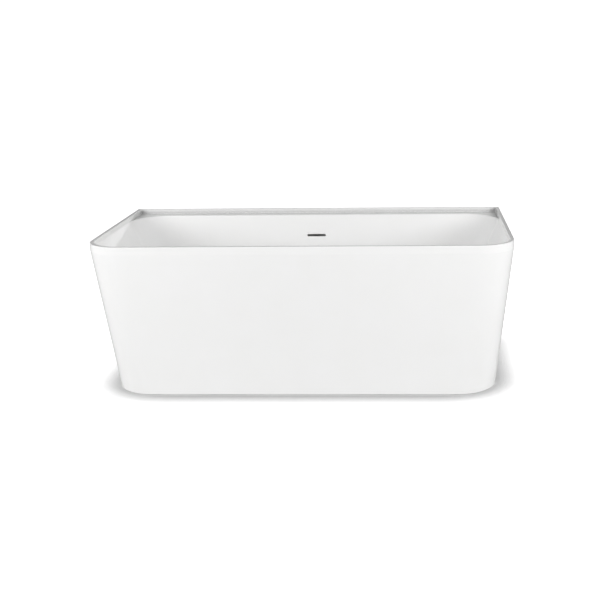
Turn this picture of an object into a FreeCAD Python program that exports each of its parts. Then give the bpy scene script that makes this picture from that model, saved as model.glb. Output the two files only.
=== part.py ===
import FreeCAD, Part
import math
import os

# Back-to-wall acrylic bathtub, millimetres.
# +X runs along the tub, +Y points at the wall behind it, +Z is up.
# The origin is on the floor, under the middle of the rim.

Vector = FreeCAD.Vector
X_AXIS = Vector(1, 0, 0)
Y_AXIS = Vector(0, 1, 0)
Z_AXIS = Vector(0, 0, 1)

# Overall size
length = 1524.0
width = 762.0
height = 568.0

# Rim: one narrow lip all round, with a turned-down edge outside
half_length = length / 2
half_width = width / 2
sheet = 4.0
lip_width = 14.0
lip_drop = 29.0
rim_corner_radius = 125.0
lip_edge_radius = 2.5

# Deck: the sunken ledge behind the basin, below the rear lip
deck_drop = 19.0
deck_depth = 42.0
deck_z = height - deck_drop

# Basin: sloping walls down to a flat floor
floor_z = 150.0
floor_half_length = 540.0
floor_front_y = -300.0
floor_rear_y = 240.0
basin_front_radius = rim_corner_radius - lip_width
basin_rear_radius = 110.0
floor_corner_radius = 150.0
floor_edge_radius = 60.0
backing = 4.0
backing_top_z = 520.0

# Skirt: three-sided panel under the lip, open towards the wall
skirt_gap = 3.0
skirt_half_length = 709.5
skirt_front_y = -331.0
skirt_corner_radius = 151.5
skirt_return = 25.0
tongue_height = 20.0
joggle_height = 4.0

# Timber batten glassed in under the rear deck, to stiffen the rim
batten_half_length = 600.0
batten_height = 18.0
batten_rear_y = half_width - lip_width + sheet - 2

# Base board and steel frame
board_thickness = 15.0
board_half_length = 470.0
board_half_width = 200.0
board_centre_y = -30.0
tube_size = 30.0
tube_wall = 2.0
rail_half_length = 630.0
front_rail_y = -190.0
rear_rail_y = 130.0
cross_tube_x = (-340.0, -120.0, 120.0, 340.0)
frame_top_z = floor_z - sheet - backing - board_thickness
frame_low_z = frame_top_z - tube_size
board_screw_radius = 2.5
board_screw_bite = 10.0

# Skirt brackets and their bolts
bracket_width = 34.0
bracket_sheet = 3.0
bracket_tab_height = 55.0
front_bracket_x = (-300.0, 300.0)
end_bracket_bolt_x = rail_half_length - 22
bolt_radius = 4.0
bolt_hole_radius = 4.2
bolt_across_flats = 13.0
bolt_head_height = 5.5
bolt_length = 18.0

# Levelling feet
foot_places = {
    "front_left": (-560.0, front_rail_y),
    "front_middle": (0.0, front_rail_y),
    "front_right": (560.0, front_rail_y),
    "rear_left": (-560.0, rear_rail_y),
    "rear_right": (560.0, rear_rail_y),
}
stem_radius = 6.0
stem_clearance = 0.06
pad_radius = 26.0
pad_height = 20.0
pad_seat_z = 8.0
nut_across_flats = 19.0
weld_nut_height = 10.0
lock_nut_height = 8.0

# Drain in the basin floor
drain_y = -30.0
drain_hole_radius = 26.0
board_hole_radius = 32.0
seal_thickness = 1.5
flange_thickness = 3.0
flange_radius = 36.0
flange_top_z = floor_z + seal_thickness + flange_thickness
drain_tube_radius = 24.0
drain_tube_low_z = 90.0
drain_bore = 20.5
cross_z = 128.0
plug_radius = 31.0
plug_stem_radius = 3.0
plug_clearance = 0.05

# Waste and overflow
pipe_radius = 19.05
pipe_wall = 2.0
tailpiece_neck = 18.7
socket_bore = 19.3
socket_radius = 24.0
waste_z = 74.0
overflow_y = 342.0
overflow_z = 465.5
slot_length = 76.0
slot_height = 9.0
tee_radius = 29.0
tee_rim_radius = 37.0
tee_top_z = frame_top_z - 3.0
tee_low_z = 50.0
tee_outlet_z = 34.0
tee_arm = 60.0
elbow_arm = 72.0
elbow_rise = 38.0
box_half_length = 52.0
box_front_y = 280.0
box_rear_y = 368.0
box_low_z = 428.0
box_top_z = 502.0
box_outlet_z = 404.0
box_gasket = 2.5
slip_nut_radius = 28.0
slip_nut_grip = 11.0
slip_nut_lip = 3.5
slip_washer_thickness = 2.5


# ---------------------------------------------------------------- helpers

def box(x0, x1, y0, y1, z0, z1):
    return Part.makeBox(x1 - x0, y1 - y0, z1 - z0, Vector(x0, y0, z0))


def cylinder(radius, start, direction, reach):
    return Part.makeCylinder(radius, reach, start, direction)


def tube(outer, inner, start, direction, reach):
    return cylinder(outer, start, direction, reach).cut(cylinder(inner, start, direction, reach))


def hexagon(across_flats, x, y, z0, reach):
    corner = across_flats / math.sqrt(3)
    points = []
    for k in range(7):
        turn = math.radians(60 * k)
        points.append(Vector(x + corner * math.cos(turn), y + corner * math.sin(turn), z0))
    return Part.Face(Part.makePolygon(points)).extrude(Z_AXIS * reach)


def outline(half_x, front_y, rear_y, front_radius, rear_radius, z):
    """Closed plan outline: round front corners, and rear corners of their own radius."""
    def corner(cx, cy, radius, start_angle):
        points = []
        for step in (0, 45, 90):
            turn = math.radians(start_angle + step)
            points.append(Vector(cx + radius * math.cos(turn), cy + radius * math.sin(turn), z))
        return points

    front_right = corner(half_x - front_radius, front_y + front_radius, front_radius, 270)
    front_left = corner(front_radius - half_x, front_y + front_radius, front_radius, 180)
    rear_right = corner(half_x - rear_radius, rear_y - rear_radius, rear_radius, 0)
    rear_left = corner(rear_radius - half_x, rear_y - rear_radius, rear_radius, 90)
    corners = [front_right, rear_right, rear_left, front_left]
    edges = []
    for index, points in enumerate(corners):
        if points[0].distanceToPoint(points[2]) > 0.001:
            edges.append(Part.Arc(points[0], points[1], points[2]).toShape())
        following = corners[(index + 1) % 4]
        edges.append(Part.LineSegment(points[2], following[0]).toShape())
    return Part.Wire(edges)


def prism(wire, reach):
    return Part.Face(wire).extrude(Z_AXIS * reach)


def loft(lower, upper):
    return Part.makeLoft([lower, upper], True, True)


# ------------------------------------------------------- basin and skirt

def rim_outline(inset, z):
    """The rim's plan, moved inwards by inset: round in front, square at the wall."""
    radius = rim_corner_radius - inset
    return outline(half_length - inset, inset - half_width, half_width - inset, radius, 0, z)


def bowl(grow):
    """The basin's hollow, grown outwards by grow on every side and underneath."""
    low = outline(floor_half_length + grow, floor_front_y - grow, floor_rear_y + grow,
                  floor_corner_radius + grow, floor_corner_radius + grow, floor_z - grow)
    high = outline(half_length - lip_width + grow, lip_width - half_width - grow,
                   half_width - lip_width - deck_depth + grow,
                   basin_front_radius + grow, basin_rear_radius + grow, deck_z)
    solid = loft(low, high)
    floor_edges = []
    for edge in solid.Edges:
        if abs(edge.BoundBox.ZMax - (floor_z - grow)) < 0.01:
            floor_edges.append(edge)
    return solid.makeFillet(floor_edge_radius + grow, floor_edges)


def drain_hole(radius):
    return cylinder(radius, Vector(0, drain_y, 0), Z_AXIS, floor_z + 10)


def overflow_slot():
    """Long slot with round ends, right through the rear wall of the basin."""
    end = slot_height / 2
    middle = slot_length / 2 - end
    start_y = half_width - lip_width - deck_depth - 60
    reach = 90
    shape = box(-middle, middle, start_y, start_y + reach, overflow_z - end, overflow_z + end)
    for x in (-middle, middle):
        shape = shape.fuse(cylinder(end, Vector(x, start_y, overflow_z), Y_AXIS, reach))
    return shape


def basin_shell():
    rim = prism(rim_outline(0, height - lip_drop), lip_drop)
    top_edges = [edge for edge in rim.Edges if edge.BoundBox.ZMin > height - 0.01]
    rim = rim.makeFillet(lip_edge_radius, top_edges)
    rim = rim.cut(prism(rim_outline(sheet, height - lip_drop), lip_drop - sheet))
    upstand = prism(rim_outline(lip_width - sheet, deck_z - sheet), deck_drop)
    shell = rim.fuse(upstand).fuse(bowl(sheet))
    shell = shell.cut(prism(rim_outline(lip_width, deck_z), deck_drop + 1))
    shell = shell.cut(bowl(0))
    return shell.cut(overflow_slot()).cut(drain_hole(drain_hole_radius)).removeSplitter()


def fibreglass_backing():
    """Glass mat and resin sprayed on the outside of the basin."""
    keep = box(-half_length, half_length, -half_width, half_width, 0, backing_top_z)
    shell = bowl(sheet + backing).cut(bowl(sheet)).common(keep)
    return shell.cut(overflow_slot()).cut(drain_hole(drain_hole_radius))


def skirt_outline(inset, rear_y, share):
    """Skirt plan at the floor (share 0) or under the lip (share 1)."""
    half_x = skirt_half_length + (half_length - skirt_half_length) * share - inset
    front_y = skirt_front_y + (-half_width - skirt_front_y) * share + inset
    radius = skirt_corner_radius + (rim_corner_radius - skirt_corner_radius) * share - inset
    z = skirt_gap + (height - lip_drop - skirt_gap) * share
    return outline(half_x, front_y, rear_y, radius, 0, z)


def skirt_solid(inset, rear_y):
    return loft(skirt_outline(inset, rear_y, 0), skirt_outline(inset, rear_y, 1))


def skirt_panel():
    beyond_wall = half_width + 20
    under_lip = height - lip_drop
    panel = skirt_solid(0, half_width).cut(skirt_solid(sheet, beyond_wall))
    flange = skirt_solid(0, half_width).cut(skirt_solid(skirt_return, beyond_wall))
    flange = flange.common(box(-half_length, half_length, half_width - sheet, half_width, 0, under_lip))
    inside = prism(outline(half_length - 2 * sheet, 2 * sheet - half_width, beyond_wall,
                           rim_corner_radius - 2 * sheet, 0, under_lip - joggle_height),
                   tongue_height + joggle_height)
    joggle = skirt_solid(0, half_width).common(
        box(-half_length, half_length, -half_width, half_width - sheet, under_lip - joggle_height, under_lip))
    tongue = prism(outline(half_length - sheet, sheet - half_width, half_width - sheet,
                           rim_corner_radius - sheet, 0, under_lip), tongue_height)
    return panel.fuse(flange).fuse(joggle.fuse(tongue).cut(inside)).removeSplitter()


# ------------------------------------------------- base board and frame

def board_screw_places():
    places = []
    for x in cross_tube_x:
        for y in (front_rail_y + 60, rear_rail_y - 60):
            places.append((x, y))
    return places


def base_board():
    low_z = frame_top_z
    plan = outline(board_half_length, board_centre_y - board_half_width,
                   board_centre_y + board_half_width, 60, 60, low_z)
    board = prism(plan, board_thickness).cut(drain_hole(board_hole_radius))
    for x, y in board_screw_places():
        board = board.cut(cylinder(board_screw_radius, Vector(x, y, low_z), Z_AXIS, board_screw_bite + 1))
    return board


def rim_batten():
    """Strip of plywood under the rear deck, cut to follow the basin's rear wall."""
    top_z = deck_z - sheet
    strip = box(-batten_half_length, batten_half_length, batten_rear_y - 38, batten_rear_y,
                top_z - batten_height, top_z)
    return strip.cut(bowl(sheet + backing))


def square_tube(x0, x1, y0, y1, along_x):
    """Square tube lying at frame height, open at both ends."""
    body = box(x0, x1, y0, y1, frame_low_z, frame_top_z)
    if along_x:
        hollow = box(x0, x1, y0 + tube_wall, y1 - tube_wall,
                     frame_low_z + tube_wall, frame_top_z - tube_wall)
    else:
        hollow = box(x0 + tube_wall, x1 - tube_wall, y0, y1,
                     frame_low_z + tube_wall, frame_top_z - tube_wall)
    return body.cut(hollow)


def rail(y):
    """Long rail: holes underneath for the foot stems and the bracket bolts."""
    shape = square_tube(-rail_half_length, rail_half_length, y - tube_size / 2, y + tube_size / 2, True)
    for x, foot_y in foot_places.values():
        if foot_y == y:
            shape = shape.cut(cylinder(stem_radius + 1, Vector(x, y, frame_low_z), Z_AXIS, tube_wall))
    for x, bolt_y in bracket_bolt_places():
        if bolt_y == y:
            shape = shape.cut(cylinder(bolt_hole_radius, Vector(x, y, frame_low_z), Z_AXIS, tube_wall))
    return shape


def cross_tube(x):
    """Short tube welded between the rails, drilled through for two board screws."""
    half = tube_size / 2
    shape = square_tube(x - half, x + half, front_rail_y + half, rear_rail_y - half, False)
    for screw_x, y in board_screw_places():
        if screw_x == x:
            shape = shape.cut(cylinder(3.2, Vector(x, y, frame_low_z - 1), Z_AXIS, tube_size + 2))
    return shape


def rail_end_caps():
    """Plastic plugs that close the four open ends of the rails."""
    half = tube_size / 2
    inner = half - tube_wall - 0.2
    middle_z = frame_low_z + half
    caps = []
    for side in (-1, 1):
        for y in (front_rail_y, rear_rail_y):
            plate = [side * rail_half_length, side * (rail_half_length + 3)]
            plug = [side * (rail_half_length - 12), side * rail_half_length]
            cap = box(min(plate), max(plate), y - half, y + half, frame_low_z, frame_top_z)
            cap = cap.fuse(box(min(plug), max(plug), y - inner, y + inner,
                               middle_z - inner, middle_z + inner))
            caps.append(cap)
    return Part.makeCompound(caps)


def board_screws():
    """Pan-head screws up through the cross tubes into the board."""
    screws = []
    for x, y in board_screw_places():
        shank = cylinder(board_screw_radius, Vector(x, y, frame_low_z), Z_AXIS,
                         tube_size + board_screw_bite)
        head = cylinder(6, Vector(x, y, frame_low_z - 3), Z_AXIS, 3)
        head = head.makeFillet(1.5, [edge for edge in head.Edges
                                     if edge.BoundBox.ZMax < frame_low_z - 2.9])
        screws.append(shank.fuse(head))
    return Part.makeCompound(screws)


# --------------------------------------------------------- skirt brackets

def bracket_bolt_places():
    places = []
    for x in front_bracket_x:
        places.append((x, front_rail_y))
    for side in (-1, 1):
        for y in (front_rail_y, rear_rail_y):
            places.append((side * end_bracket_bolt_x, y))
    return places


def skirt_bracket(block, tab):
    """Flat strap bolted under a rail, with a tab that follows the skirt's inner face."""
    inside = skirt_solid(sheet, half_width)
    strap = block.common(inside)
    thin_tab = tab.common(inside).cut(skirt_solid(sheet + bracket_sheet, half_width + 20))
    shape = strap.fuse(thin_tab)
    for x, y in bracket_bolt_places():
        shape = shape.cut(cylinder(bolt_hole_radius, Vector(x, y, frame_low_z - 10), Z_AXIS, 12))
    return shape.removeSplitter()


def front_bracket(x):
    half = bracket_width / 2
    low_z = frame_low_z - bracket_sheet
    block = box(x - half, x + half, -half_width, front_rail_y + tube_size / 2, low_z, frame_low_z)
    tab = box(x - half, x + half, -half_width, skirt_front_y + 30, low_z, low_z + bracket_tab_height)
    return skirt_bracket(block, tab)


def end_bracket(side, y):
    half = bracket_width / 2
    low_z = frame_low_z - bracket_sheet
    near = side * (end_bracket_bolt_x - 16)
    far = side * half_length
    inner = side * (skirt_half_length - 30)
    block = box(min(near, far), max(near, far), y - half, y + half, low_z, frame_low_z)
    tab = box(min(inner, far), max(inner, far), y - half, y + half, low_z, low_z + bracket_tab_height)
    return skirt_bracket(block, tab)


def bracket_bolts():
    bolts = []
    for x, y in bracket_bolt_places():
        head_z = frame_low_z - bracket_sheet - bolt_head_height
        bolt = hexagon(bolt_across_flats, x, y, head_z, bolt_head_height)
        bolts.append(bolt.fuse(cylinder(bolt_radius, Vector(x, y, head_z), Z_AXIS, bolt_length)))
    return Part.makeCompound(bolts)


# -------------------------------------------------------- levelling feet

def frame_nuts(top_z, reach):
    """One hexagon nut round each foot stem, with a running clearance."""
    nuts = []
    for x, y in foot_places.values():
        nut = hexagon(nut_across_flats, x, y, top_z - reach, reach)
        nuts.append(nut.cut(cylinder(stem_radius + stem_clearance, Vector(x, y, top_z - reach),
                                     Z_AXIS, reach)))
    return Part.makeCompound(nuts)


def foot_stem(x, y):
    """Threaded stem, shown as its plain outside diameter, with a chamfered top."""
    top_z = frame_top_z - tube_wall - 3
    stem = cylinder(stem_radius, Vector(x, y, pad_seat_z), Z_AXIS, top_z - pad_seat_z)
    return stem.makeChamfer(1.2, [edge for edge in stem.Edges if edge.BoundBox.ZMin > top_z - 0.01])


def foot_pad(x, y):
    """Round moulded foot with a raised collar that grips the stem."""
    flat = 6.0
    collar_radius = 13.0
    profile = [Vector(x, y, 0), Vector(x + pad_radius - 2, y, 0), Vector(x + pad_radius, y, 2),
               Vector(x + pad_radius, y, flat), Vector(x + collar_radius, y, flat + 5),
               Vector(x + collar_radius, y, pad_height), Vector(x, y, pad_height), Vector(x, y, 0)]
    pad = Part.Face(Part.makePolygon(profile)).revolve(Vector(x, y, 0), Z_AXIS, 360)
    return pad.cut(cylinder(stem_radius, Vector(x, y, pad_seat_z), Z_AXIS, pad_height))


# ------------------------------------------------------ waste and drain

def ring(outer, inner, x, y, z0, z1):
    return tube(outer, inner, Vector(x, y, z0), Z_AXIS, z1 - z0)


def drain_flange():
    """Turned strainer body: flange on the basin floor, tube below, cross inside."""
    lip = cylinder(flange_radius, Vector(0, drain_y, flange_top_z - flange_thickness), Z_AXIS,
                   flange_thickness)
    lip = lip.makeFillet(1.8, [edge for edge in lip.Edges if edge.BoundBox.ZMin > flange_top_z - 0.01])
    tail_bottom = Vector(0, drain_y, drain_tube_low_z)
    tail = cylinder(drain_tube_radius, tail_bottom, Z_AXIS, floor_z + seal_thickness - drain_tube_low_z)
    body = lip.fuse(tail).cut(cylinder(drain_bore, tail_bottom, Z_AXIS, 100))
    boss = cylinder(7, Vector(0, drain_y, cross_z - 8), Z_AXIS, 8)
    bars = box(-drain_bore - 1, drain_bore + 1, drain_y - 1.5, drain_y + 1.5, cross_z - 5, cross_z)
    bars = bars.fuse(box(-1.5, 1.5, drain_y - drain_bore - 1, drain_y + drain_bore + 1,
                         cross_z - 5, cross_z))
    body = body.fuse(boss).fuse(bars)
    return body.cut(cylinder(5, Vector(0, drain_y, cross_z - 9), Z_AXIS, 12)).removeSplitter()


def plug_cartridge():
    """Push-and-release cartridge screwed into the drain's cross."""
    body = cylinder(5, Vector(0, drain_y, cross_z - 8), Z_AXIS, 8)
    body = body.fuse(cylinder(8, Vector(0, drain_y, cross_z), Z_AXIS, 14))
    bore = plug_stem_radius + plug_clearance
    return body.cut(cylinder(bore, Vector(0, drain_y, cross_z - 10), Z_AXIS, 30))


def plug_stem():
    return cylinder(plug_stem_radius, Vector(0, drain_y, cross_z - 6), Z_AXIS,
                    flange_top_z + 3.0 - cross_z + 6)


def plug_cap():
    """Cap with a shallow spherical dome that hides the drain."""
    low_z = flange_top_z + 2.3
    rim_z = low_z + 3.0
    crown = 3.0
    dome_radius = (plug_radius ** 2 + crown ** 2) / (2 * crown)
    half_way_z = rim_z + crown - dome_radius + math.sqrt(dome_radius ** 2 - (plug_radius / 2) ** 2)
    profile = Part.Wire([
        Part.LineSegment(Vector(0, drain_y, low_z), Vector(plug_radius, drain_y, low_z)).toShape(),
        Part.LineSegment(Vector(plug_radius, drain_y, low_z),
                         Vector(plug_radius, drain_y, rim_z)).toShape(),
        Part.Arc(Vector(plug_radius, drain_y, rim_z),
                 Vector(plug_radius / 2, drain_y, half_way_z),
                 Vector(0, drain_y, rim_z + crown)).toShape(),
        Part.LineSegment(Vector(0, drain_y, rim_z + crown), Vector(0, drain_y, low_z)).toShape()])
    cap = Part.Face(profile).revolve(Vector(0, drain_y, 0), Z_AXIS, 360)
    return cap.cut(cylinder(plug_stem_radius, Vector(0, drain_y, low_z - 1), Z_AXIS, 1.7))


def drain_tee():
    """Waste body under the floor: overflow enters at the back, outlet straight down."""
    shape = cylinder(tee_radius, Vector(0, drain_y, tee_low_z), Z_AXIS, tee_top_z - tee_low_z)
    shape = shape.fuse(cylinder(tee_rim_radius, Vector(0, drain_y, tee_top_z - 5), Z_AXIS, 5))
    shape = shape.fuse(cylinder(socket_radius, Vector(0, drain_y, tee_outlet_z), Z_AXIS, 20))
    shape = shape.fuse(cylinder(socket_radius, Vector(0, drain_y, waste_z), Y_AXIS, tee_arm))
    shape = shape.cut(cylinder(drain_tube_radius + 0.2, Vector(0, drain_y, tee_low_z + 4), Z_AXIS, 90))
    shape = shape.cut(cylinder(socket_bore, Vector(0, drain_y, tee_outlet_z - 4), Z_AXIS, 30))
    return shape.cut(cylinder(socket_bore, Vector(0, drain_y, waste_z), Y_AXIS, tee_arm + 1))


def overflow_elbow():
    """Lower bend of the overflow: turns the down pipe towards the drain."""
    side_mouth = Vector(0, overflow_y - elbow_arm, waste_z)
    shape = cylinder(socket_radius, Vector(0, overflow_y, waste_z), Z_AXIS, elbow_rise)
    shape = shape.fuse(cylinder(socket_radius, side_mouth, Y_AXIS, elbow_arm))
    shape = shape.fuse(Part.makeSphere(socket_radius, Vector(0, overflow_y, waste_z)))
    shape = shape.cut(cylinder(socket_bore, Vector(0, overflow_y, waste_z), Z_AXIS, elbow_rise + 1))
    shape = shape.cut(cylinder(socket_bore, side_mouth - Y_AXIS, Y_AXIS, elbow_arm + 1))
    return shape.cut(Part.makeSphere(socket_bore, Vector(0, overflow_y, waste_z)))


def waste_pipe(start, direction, reach):
    return tube(pipe_radius, pipe_radius - pipe_wall, start, direction, reach)


def tailpiece():
    """Outlet stub: full pipe size outside the nut, and a slimmer neck up inside the tee."""
    low_z = 4.0
    neck_z = 28.0
    bottom = Vector(0, drain_y, low_z)
    shape = cylinder(pipe_radius, bottom, Z_AXIS, neck_z - low_z)
    shape = shape.fuse(cylinder(tailpiece_neck, bottom, Z_AXIS, 50 - low_z))
    return shape.cut(cylinder(pipe_radius - pipe_wall, bottom, Z_AXIS, 50)).removeSplitter()


def overflow_block(front_grow):
    """Space between the basin's rear wall and the back of the overflow box."""
    block = box(-box_half_length, box_half_length, box_front_y, box_rear_y, box_low_z, box_top_z)
    return block.cut(bowl(front_grow))


def overflow_box():
    """Moulded box behind the slot: open in front, one round outlet underneath."""
    inner_wall = 3.0
    seat = sheet + backing + box_gasket
    shape = overflow_block(seat)
    hollow = box(inner_wall - box_half_length, box_half_length - inner_wall, box_front_y,
                 box_rear_y - inner_wall, box_low_z + inner_wall, box_top_z - inner_wall)
    outlet = cylinder(socket_radius, Vector(0, overflow_y, box_outlet_z), Z_AXIS,
                      box_low_z - box_outlet_z + 2)
    shape = shape.cut(hollow).fuse(outlet)
    bore = cylinder(socket_bore, Vector(0, overflow_y, box_outlet_z - 4), Z_AXIS, 33)
    return shape.cut(bore).removeSplitter()


def overflow_gasket():
    """Foam ring that seals the box against the back of the basin."""
    ring_shape = overflow_block(sheet + backing).cut(overflow_block(sheet + backing + box_gasket))
    land = 8.0
    return ring_shape.cut(box(land - box_half_length, box_half_length - land, box_front_y, box_rear_y,
                              box_low_z + land, box_top_z - land))


# Each slip joint: socket mouth, and the way its pipe leaves
slip_joints = {
    "tailpiece": (Vector(0, drain_y, tee_outlet_z), -Z_AXIS),
    "tee_inlet": (Vector(0, drain_y + tee_arm, waste_z), Y_AXIS),
    "elbow_side": (Vector(0, overflow_y - elbow_arm, waste_z), -Y_AXIS),
    "elbow_top": (Vector(0, overflow_y, waste_z + elbow_rise), Z_AXIS),
    "overflow_outlet": (Vector(0, overflow_y, box_outlet_z), -Z_AXIS),
}


def slip_nut(mouth, way):
    """Ribbed hand nut: grips the socket and squeezes a washer onto the pipe."""
    start = mouth - way * slip_nut_grip
    inside = slip_nut_grip + slip_washer_thickness
    body = cylinder(slip_nut_radius, start, way, inside + slip_nut_lip)
    rib_circle = slip_nut_radius + 0.2
    side = X_AXIS
    other = way.cross(side)
    for k in range(12):
        turn = math.radians(30 * k)
        place = start + side * (rib_circle * math.cos(turn)) + other * (rib_circle * math.sin(turn))
        body = body.fuse(cylinder(1.8, place, way, inside + slip_nut_lip))
    body = body.cut(cylinder(socket_radius + 0.1, start, way, inside))
    return body.cut(cylinder(socket_bore, start, way, 40)).removeSplitter()


def slip_washers():
    rings = []
    for name, (mouth, way) in slip_joints.items():
        inner = tailpiece_neck if name == "tailpiece" else pipe_radius
        rings.append(tube(socket_radius - 0.2, inner, mouth, way, slip_washer_thickness))
    return Part.makeCompound(rings)


# ----------------------------------------------------------- all the parts

def all_parts():
    parts = {
        "basin_shell": basin_shell(),
        "fibreglass_backing": fibreglass_backing(),
        "skirt_panel": skirt_panel(),
        "rim_batten": rim_batten(),
        "base_board": base_board(),
        "rail_front": rail(front_rail_y),
        "rail_rear": rail(rear_rail_y),
        "rail_end_caps": rail_end_caps(),
        "board_screws": board_screws(),
        "bracket_front_left": front_bracket(front_bracket_x[0]),
        "bracket_front_right": front_bracket(front_bracket_x[1]),
        "bracket_bolts": bracket_bolts(),
        "foot_weld_nuts": frame_nuts(frame_low_z, weld_nut_height),
        "foot_lock_nuts": frame_nuts(frame_low_z - weld_nut_height, lock_nut_height),
        "drain_flange": drain_flange(),
        "drain_flange_seal": ring(flange_radius - 1, drain_hole_radius, 0, drain_y, floor_z,
                                  floor_z + seal_thickness),
        "drain_tee": drain_tee(),
        "drain_tee_gasket": ring(tee_rim_radius, tee_radius + 1, 0, drain_y, tee_top_z, frame_top_z),
        "plug_cartridge": plug_cartridge(),
        "plug_stem": plug_stem(),
        "plug_cap": plug_cap(),
        "plug_seal": ring(29, 22, 0, drain_y, flange_top_z + 0.3, flange_top_z + 2.3),
        "tailpiece": tailpiece(),
        "crossover_pipe": waste_pipe(Vector(0, drain_y + 34, waste_z), Y_AXIS,
                                     overflow_y - drain_y - 34 - 26),
        "overflow_pipe": waste_pipe(Vector(0, overflow_y, waste_z + 22), Z_AXIS,
                                    box_low_z - waste_z - 22),
        "overflow_elbow": overflow_elbow(),
        "overflow_box": overflow_box(),
        "overflow_gasket": overflow_gasket(),
        "slip_washers": slip_washers(),
    }
    for name, x in zip(("left", "mid_left", "mid_right", "right"), cross_tube_x):
        parts["cross_tube_" + name] = cross_tube(x)
    for side, side_name in ((-1, "left"), (1, "right")):
        parts["bracket_" + side_name + "_front"] = end_bracket(side, front_rail_y)
        parts["bracket_" + side_name + "_rear"] = end_bracket(side, rear_rail_y)
    for name, (x, y) in foot_places.items():
        parts["foot_stem_" + name] = foot_stem(x, y)
        parts["foot_pad_" + name] = foot_pad(x, y)
    for name, (mouth, way) in slip_joints.items():
        parts["slip_nut_" + name] = slip_nut(mouth, way)
    return parts


os.makedirs("parts", exist_ok=True)
for node, shape in all_parts().items():
    shape.exportStep("parts/" + node + ".step")
    bounds = shape.BoundBox
    print("%-28s solids %2d valid %s volume %10.0f  z %7.2f %7.2f" % (
        node, len(shape.Solids), shape.isValid(), shape.Volume, bounds.ZMin, bounds.ZMax))
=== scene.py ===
import bmesh
import bpy
import math
from mathutils import Matrix, Vector, noise


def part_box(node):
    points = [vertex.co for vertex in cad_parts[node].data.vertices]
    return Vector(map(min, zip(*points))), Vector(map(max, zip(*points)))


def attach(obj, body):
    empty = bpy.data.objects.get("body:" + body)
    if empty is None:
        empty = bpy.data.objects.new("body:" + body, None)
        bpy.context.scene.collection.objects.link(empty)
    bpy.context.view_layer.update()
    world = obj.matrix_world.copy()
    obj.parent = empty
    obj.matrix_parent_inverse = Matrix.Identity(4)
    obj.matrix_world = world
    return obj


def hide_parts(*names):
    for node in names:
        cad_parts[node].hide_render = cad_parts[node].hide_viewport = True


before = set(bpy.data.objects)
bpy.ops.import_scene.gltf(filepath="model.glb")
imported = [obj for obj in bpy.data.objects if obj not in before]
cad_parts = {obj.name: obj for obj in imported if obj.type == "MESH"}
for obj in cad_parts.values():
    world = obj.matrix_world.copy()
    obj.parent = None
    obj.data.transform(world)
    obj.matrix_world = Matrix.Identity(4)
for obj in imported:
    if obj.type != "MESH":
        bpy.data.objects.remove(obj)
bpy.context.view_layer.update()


# ------------------------------------------------------------------ basin shell
# One 4 mm sheet of cast acrylic, heated and drawn over a mould: lip, rear deck and
# basin are the same skin. It is trimmed below the lip and the waste holes are routed.

SHEET = 0.004
LIP_WIDTH = 0.014
LIP_DROP = 0.029
DECK_DROP = 0.019
DECK_DEPTH = 0.042
RIM_CORNER = 0.125
TRIMMED_CORNER = 0.004
FLOOR_Z = 0.150
FLOOR_HALF_LENGTH = 0.540
FLOOR_FRONT_Y = -0.300
FLOOR_REAR_Y = 0.240
FLOOR_CORNER = 0.150
FLOOR_EDGE = 0.060
FLOOR_CORNER_PINCH = 0.042
BASIN_REAR_CORNER = 0.140
DRAIN_Y = -0.030
DRAIN_HOLE = 0.026
DRAIN_SEAT = 0.040
SLOT_Z = 0.4655
SLOT_HALF_LENGTH = 0.038
SLOT_HALF_HEIGHT = 0.0045
SLOT_CUT = (-0.003, 0.020)
SLOT_FLARE = 0.0009

rim_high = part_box("basin_shell")[1]
HALF_LENGTH = rim_high.x
HALF_WIDTH = rim_high.y
RIM_Z = rim_high.z
DECK_Z = RIM_Z - DECK_DROP
BASIN_REAR_Y = HALF_WIDTH - LIP_WIDTH - DECK_DEPTH
CORNER_START_X = HALF_LENGTH - LIP_WIDTH - BASIN_REAR_CORNER
CORNER_START_Y = BASIN_REAR_Y - BASIN_REAR_CORNER


def linear(hex_code):
    """An sRGB hex colour as linear red, green, blue and alpha."""
    parts = []
    for start in (0, 2, 4):
        value = int(hex_code[start:start + 2], 16) / 255
        parts.append(value / 12.92 if value <= 0.04045 else ((value + 0.055) / 1.055) ** 2.4)
    return (*parts, 1.0)


def add(tree, kind, inputs=None, **settings):
    """One shader node with its settings; an input is a value or another node's socket."""
    node = tree.nodes.new("ShaderNode" + kind)
    for name, value in settings.items():
        setattr(node, name, value)
    for name, value in (inputs or {}).items():
        if isinstance(value, bpy.types.NodeSocket):
            tree.links.new(value, node.inputs[name])
        else:
            node.inputs[name].default_value = value
    return node


def new_material(name):
    """An empty node material: the material, its tree, and object coordinates in metres."""
    material = bpy.data.materials.new(name)
    material.use_nodes = True
    material.node_tree.nodes.clear()
    place = add(material.node_tree, "TexCoord").outputs["Object"]
    return material, material.node_tree, place


def show(tree, shader):
    """Joins a shader to the material's output."""
    add(tree, "OutputMaterial", {"Surface": shader.outputs[0]})


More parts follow.
